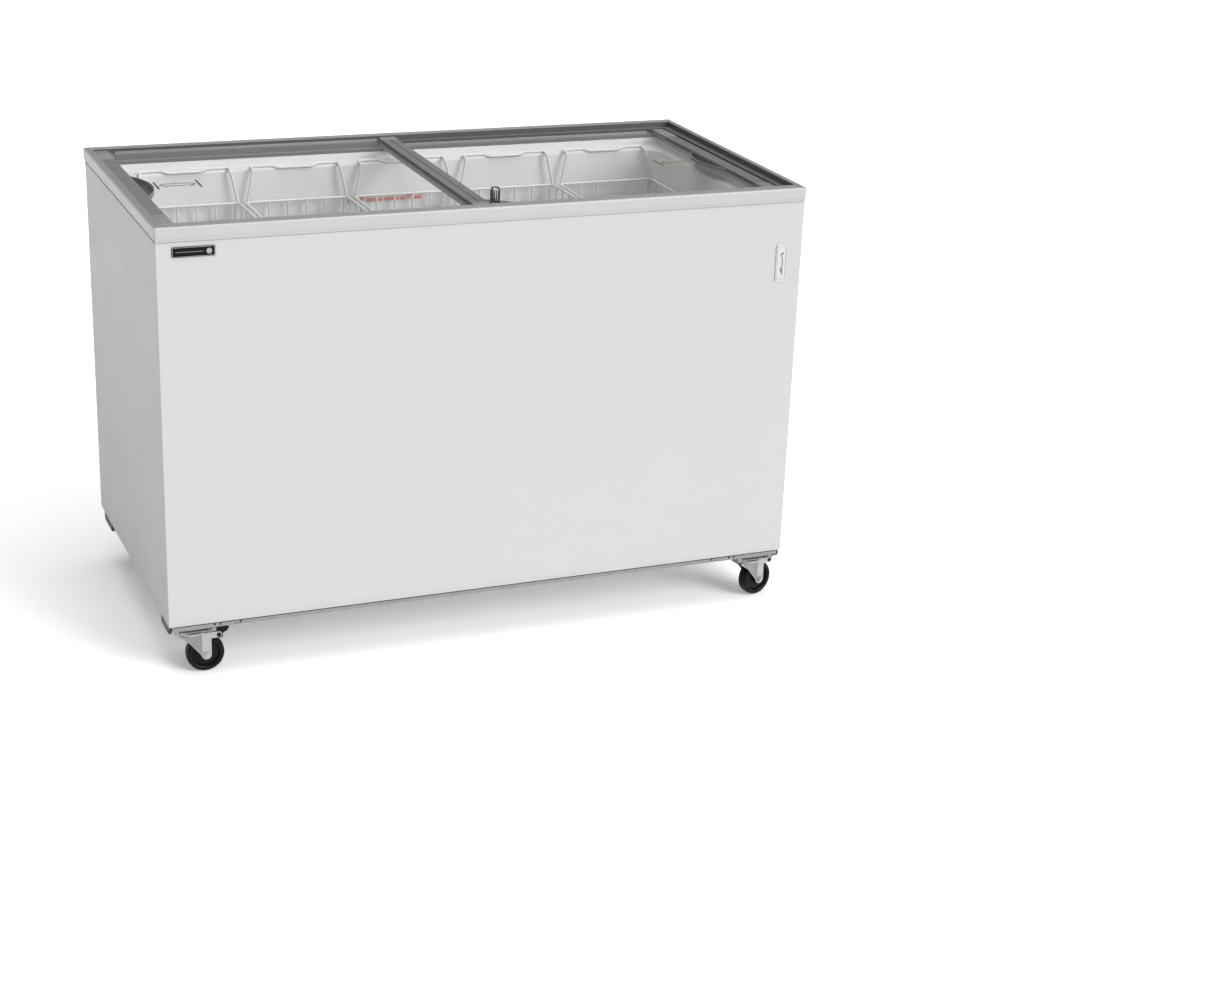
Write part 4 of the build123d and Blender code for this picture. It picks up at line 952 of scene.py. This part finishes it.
def make_caster_details():
    """Black ring in the gap of each swivel as painted shade, rolled rib and screw of its bracket, and the
    plates on its fork's legs.
    """
    ribs, screws, swivel_gap_shades = bmesh.new(), bmesh.new(), bmesh.new()
    rib_half, rib_low, rib_high = 27 * MM, 3 * MM, 9 * MM
    for name in caster_names():
        swivel = Vector(joint(f"caster_swivel_{name}")["pos_m"])
        plate_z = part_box("caster_plates")[1].z - 5.5 * MM
        # Black ring in the gap under the swivel plate: painted shade of that gap.
        add_lathe(swivel_gap_shades, (swivel.x, swivel.y, plate_z - 4.6 * MM), (0, 0, 1),
                  [(24.2 * MM, 0), (26.0 * MM, 0), (27.2 * MM, 1.2 * MM), (26.0 * MM, 2.6 * MM),
                   (24.2 * MM, 2.6 * MM)], 32)
        out = -1 if swivel.y < 0 else 1
        edge_y = swivel.y + out * 38.6 * MM
        left, right = swivel.x - rib_half, swivel.x + rib_half
        bottom, top = plate_z + rib_low, plate_z + rib_high
        corners = [(left, edge_y, bottom), (right, edge_y, bottom), (right, edge_y, top), (left, edge_y, top)]
        add_tube(ribs, rounded_path(corners, 3 * MM, 4, True), 1.1 * MM, 8, True)
        screw = (swivel.x - 4 * MM, swivel.y + out * 34 * MM, plate_z + 7 * MM)
        add_screw_head(screws, screw, (0, out, 0), 3 * MM)
        make_leg_plates(name, swivel)
    add_piece("bracket_ribs", ribs, "galvanised", CABINET, 60)
    add_piece("bracket_screws", screws, "seal_black", CABINET)
    add_piece("swivel_gap_shade_rings", swivel_gap_shades, "seal_black", CABINET)


def make_rear_details():
    """Screws of the rear grille and copper lines of the compressor."""
    low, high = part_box("rear_grille")
    builder = bmesh.new()
    for x in (low.x + 9 * MM, high.x - 9 * MM):
        for z in (low.z + 9 * MM, high.z - 9 * MM):
            add_screw_head(builder, (x, low.y + 2 * MM, z), (0, 1, 0), 3.4 * MM)
    add_piece("grille_screws", builder, "zinc", CABINET)
    shell_low, shell_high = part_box("compressor")
    dryer_low, dryer_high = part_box("filter_dryer")
    coil_low, coil_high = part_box("condenser")
    middle = (shell_low + shell_high) / 2
    lines = bmesh.new()
    radius = 3 * MM
    drier = (dryer_low + dryer_high) / 2
    out_y = dryer_high.y + 30 * MM
    low_run, high_run = shell_high.z + 30 * MM, shell_high.z + 45 * MM
    port_x, coil_x, coil_z = middle.x + 20 * MM, coil_low.x + 20 * MM, coil_high.z - 20 * MM
    routes = [
        [(drier.x, dryer_high.y, drier.z), (drier.x, out_y, drier.z), (drier.x, out_y, low_run),
         (middle.x, middle.y, low_run), (middle.x, middle.y, shell_high.z - 2 * MM)],
        [(port_x, middle.y, shell_high.z - 8 * MM), (port_x, middle.y, high_run),
         (coil_x, middle.y, high_run), (coil_x, coil_high.y + 25 * MM, coil_z),
         (coil_x, coil_high.y, coil_z)],
    ]
    for route in routes:
        add_tube(lines, rounded_path(route, 18 * MM, 6), radius, 10)
    add_piece("refrigerant_lines", lines, "copper", CABINET, 60)


# ---------------------------------------------------------------- build everything
def dress_frame():
    """Gives every CAD node the material of its slot."""
    slots = {part["node"]: part["material_slot"] for part in frame["record"]["subparts"]}
    for node, body_object in frame["nodes"].items():
        body_object.data.materials.clear()
        body_object.data.materials.append(MATERIALS[slots[node]])


make_camera()
MATERIALS = make_materials()
make_light()
add_tank_light()
make_floor()
dress_frame()
tank_half, ledge = make_tank()
for basket_number in range(1, 6):
    make_basket(basket_number)
make_load_line(tank_half, ledge)
for lid_name, inward in (("upper", 1), ("lower", -1)):
    make_grip(lid_name, inward)
    make_sticker(lid_name, inward)
    make_profile_caps(lid_name)
make_lid_seals()
make_badge()
make_gauge()
make_seam_shadows()
make_lock_details()
make_caster_details()
make_rear_details()
